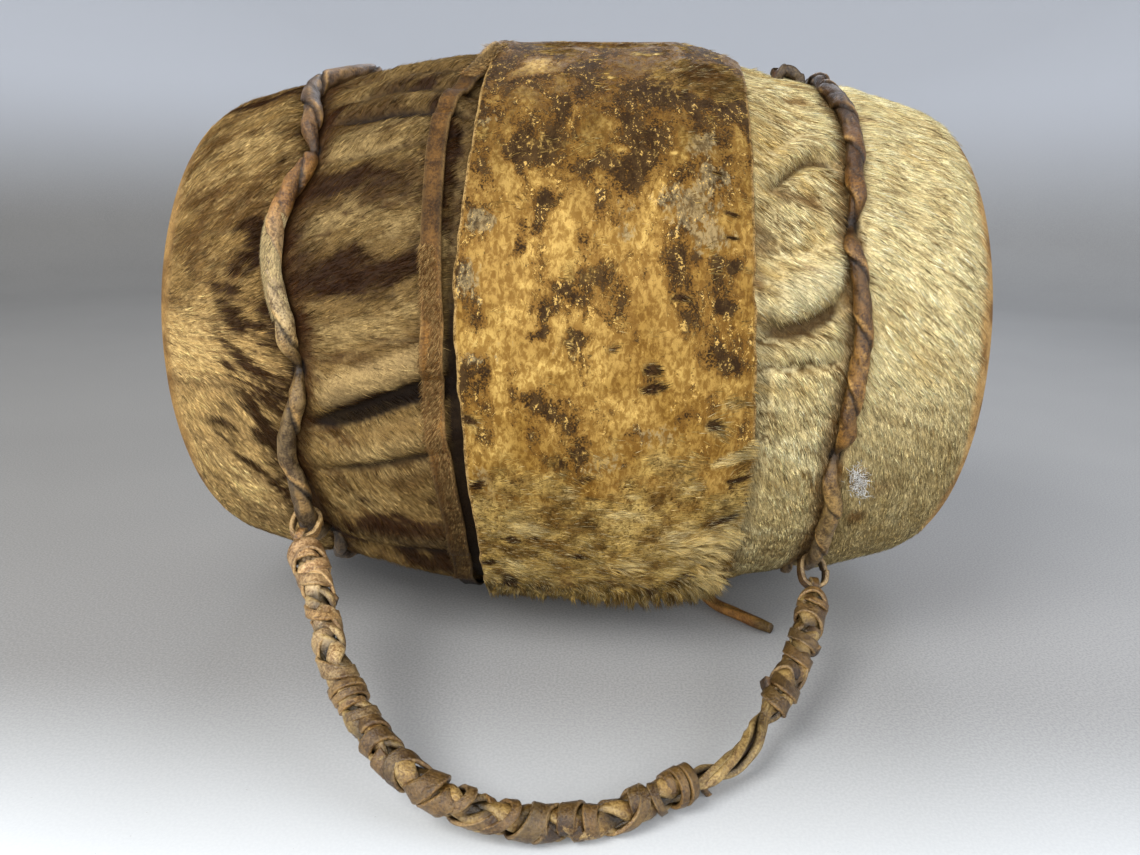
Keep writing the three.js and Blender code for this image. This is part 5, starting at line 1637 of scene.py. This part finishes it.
def make_tail(leather):
    """The tail: a tightly rolled thong with a seam along it and a frayed dark end."""
    path, total = resampled(TAIL_ROUTE, TAIL_STATIONS)
    run = np.linspace(0, total, TAIL_STATIONS)
    size = TAIL_DIAMETER / 2 * (1 - 0.12 * ease(total - 6, total, run)) * (1 + 0.06 * noise(path, 6, 141))
    factor, seam, phase = rolled(round_the(TAIL_SIDES), run, 150.0, 0.14)
    up = np.broadcast_to([0.0, 0.0, 1.0], path.shape)
    points = tube_points(path, up, round_section(TAIL_SIDES, size, factor))
    tint = linear("#8f6632") * (0.7 + 0.4 * phase + 0.3 * noise(points, 5, 143))[..., None]
    worn_end = ease(total - 15, total - 3, run)[:, None] * 0.8
    # Painted shade along the seam's crevice; the frayed end is dark in its own colour.
    tint = mixed(tint, "#4f4322", np.clip(np.maximum(seam * 0.6, worn_end), 0, 1))
    made = capped("tail", points, tint)
    finish_piece(made, leather, "drum", ["thong_tail"])


def make_end_loop(leather):
    """The right lacing's end: a short loop of flat thong that stands up from the hide."""
    t = np.linspace(0, 1, 60)
    crumple = noise(stacked(t * 10, t, t), 2.2, 147)
    x = 103 - 5.2 * np.cos(math.pi * t) + 0.8 * crumple
    rise = 4.2 * np.sin(math.pi * t) ** 0.8 + 1.2 * crumple
    path = on_drum(x, hide_radius(x) + 0.6 + rise, 170.0 + 1.2 * crumple)
    outs = unit(path - path.mean(0) + np.array([0, 0, 1.0]))
    fields = (leather, "drum", ["right_lacing_end"], "lacing_hide", "#4a3017", 0.15)
    loop_piece("right_lacing_loop", path, 8.0, 5.0 + crumple, outs, *fields)


# Camera and studio


def make_camera():
    """The camera that took the photograph, as fitted: its axes are its right, its up and back."""
    data = bpy.data.cameras.new("camera")
    data.lens = CAMERA_LENS
    data.sensor_width = 36
    data.clip_start = 0.01
    made = bpy.data.objects.new("camera", data)
    forward = Vector(CAMERA_FORWARD).normalized()
    right = forward.cross(Vector(CAMERA_UP)).normalized()
    axes = Matrix((right, right.cross(forward), -forward)).transposed().to_4x4()
    made.matrix_world = Matrix.Translation(Vector(CAMERA_PLACE) / METRE) @ axes
    bpy.context.scene.collection.objects.link(made)
    bpy.context.scene.camera = made


# Floor's profile, radius and height, and lamps: name, place, size, watts and colour; all in metres
FLOOR = (
    (0.02, 0), (0.6, 0), (1.2, 0), (1.6, 0), (1.8, 0.03), (1.95, 0.12), (2.05, 0.3), (2.1, 0.7), (2.1, 1.6),
)
LAMPS = (
    ("key", (-0.8, -1.0, 1.3), 0.8, 27, "#ffffff"),
    ("front", (0.1, -1.75, 0.4), 1.5, 33, "#ffffff"),
    ("low_left", (-1.2, -1.0, 0.25), 0.6, 5, "#ffffff"),
    ("right", (1.2, -0.6, 0.7), 0.9, 10, "#f4f7ff"),
    ("back", (0.1, 1.2, 1.3), 1.2, 10, "#f2f6ff"),
)
LAMP_AIM = Vector((0, 0, 0.1))


def make_studio():
    """A pale floor that curves up into a round wall, soft lamps above it and an even sky. The floor carries
    painted light: a pale pool just in front of the drum and painted shade to the left, and it is darker
    farther in front.
    """
    angles = np.radians(np.arange(96) * 360 / 96)
    points = np.array([[(r * math.sin(a), -r * math.cos(a), z) for a in angles] for r, z in FLOOR]) * METRE
    floor = smooth(make_mesh("floor", points, [grid_faces(len(FLOOR), 96)[0][:, ::-1]]))
    material, tree, principled = new_material("pale_painted_floor", Roughness=0.75)
    coords = object_coordinates(tree)
    fine = times(tree, grain(tree, coords, 1.2, 3), 0.7)
    fine = maths(tree, "ADD", fine, times(tree, grain(tree, coords, 200, 2), 0.1))
    colour = blended(tree, ramped(tree, fine, 0.28, 0.52), "#8c8c8c", "#9d9d9c")
    parts = node(tree, "ShaderNodeSeparateXYZ", {"Vector": coords})
    # Painted shade to the left, then a painted pool of light just in front of the drum; the floor darkens
    # farther in front.
    dimmer = blended(tree, 1.0, colour, "#e2dfda", "MULTIPLY")
    colour = blended(tree, ramped(tree, parts.outputs["X"], -0.45, 0.15), dimmer, colour)
    near = times(tree, parts.outputs["Y"], -1.0)
    aside = ramped(tree, maths(tree, "ABSOLUTE", parts.outputs["X"]), 0.55, 0.3)
    pale = times(tree, ramped(tree, near, 0.12, 0.32), aside)
    colour = blended(tree, pale, colour, "#e4e8ea")
    colour = blended(tree, ramped(tree, near, 0.3, 0.52), colour, "#6c6e70")
    colour = blended(tree, ramped(tree, near, 0.55, 1.2), colour, "#343638")
    colour = blended(tree, ramped(tree, parts.outputs["Z"], 0.1, 0.5), colour, "#c3c7ce")
    specks = ramped(tree, grain(tree, coords, 2.4, 2, 0.5), 0.74, 0.78)
    painted(tree, principled, blended(tree, times(tree, specks, 0.4), colour, "#8b8a86"))
    floor.data.materials.append(material)
    for name, place, size, power, colour in LAMPS:
        data = bpy.data.lights.new(name, "AREA")
        data.size, data.energy, data.color = size, power, linear(colour)
        lamp = bpy.data.objects.new(name, data)
        lamp.location = place
        lamp.rotation_euler = (LAMP_AIM - Vector(place)).to_track_quat("-Z", "Y").to_euler()
        bpy.context.scene.collection.objects.link(lamp)
    world = bpy.data.worlds.new("studio")
    world.use_nodes = True
    world.node_tree.nodes["Background"].inputs["Color"].default_value = rgba("#eef1f6")
    world.node_tree.nodes["Background"].inputs["Strength"].default_value = 0.5
    bpy.context.scene.world = world
    bpy.context.scene.view_settings.view_transform = "Standard"


def dress():
    """Every piece in its material, and a material each for the two solids that stay."""
    skin = haired_skin()
    hair = hair_strands()
    band_skin = worn_rawhide()
    lacing_leather = thong_leather("rolled_lacing_hide", "#7d7064", "#ffffff", 0.24, 0.36)
    girth_leather = thong_leather("flat_thong_hide", "#94877a", "#fff4e4", 0.42, 0.14)
    braid_leather = thong_leather("braided_raw_hide", "#8f7c66", "#ffffff", 0.2, 0.42)
    wrap_leather = thong_leather("wound_flat_hide", "#8c7a68", "#fff6e6", 0.2, 0.42)
    tail_leather = thong_leather("rolled_orange_hide", "#a89484", "#ffffff", 0.38)
    make_strap(braid_leather, wrap_leather)
    make_tail(tail_leather)
    for key, hide in HIDES.items():
        make_hide(key, skin)
        lacing_run = run_at(hide, LACING_PLACE)
        grow_coat(key, 1, run_at(hide, hide["edge"] - UNDER_BAND), lacing_run, hair)
        grow_coat(key, 2, lacing_run, hide["outline"][0][-4], hair)
    make_band(band_skin)
    grow_band_hair(hair)
    make_lacing("brown", lacing_leather, "left_lacing_thong")
    grow_lacing_hair(hair)
    make_lacing("cream", lacing_leather, "right_lacing_thong")
    make_girth(girth_leather, hair)
    make_anchor("left_anchor", "brown", LEFT_PIVOT, wrap_leather, "left_anchor_ring", "#a8844f")
    make_anchor("right_anchor", "cream", RIGHT_PIVOT, wrap_leather, "right_anchor_ring", "#5f4526")
    make_end_loop(lacing_leather)
    make_lint(hair)
    for name, material in (("wooden_shell", carved_wood()), ("draw_thong", plain_hide())):
        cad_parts[name].data.materials.clear()
        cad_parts[name].data.materials.append(material)


make_camera()
dress()
make_studio()
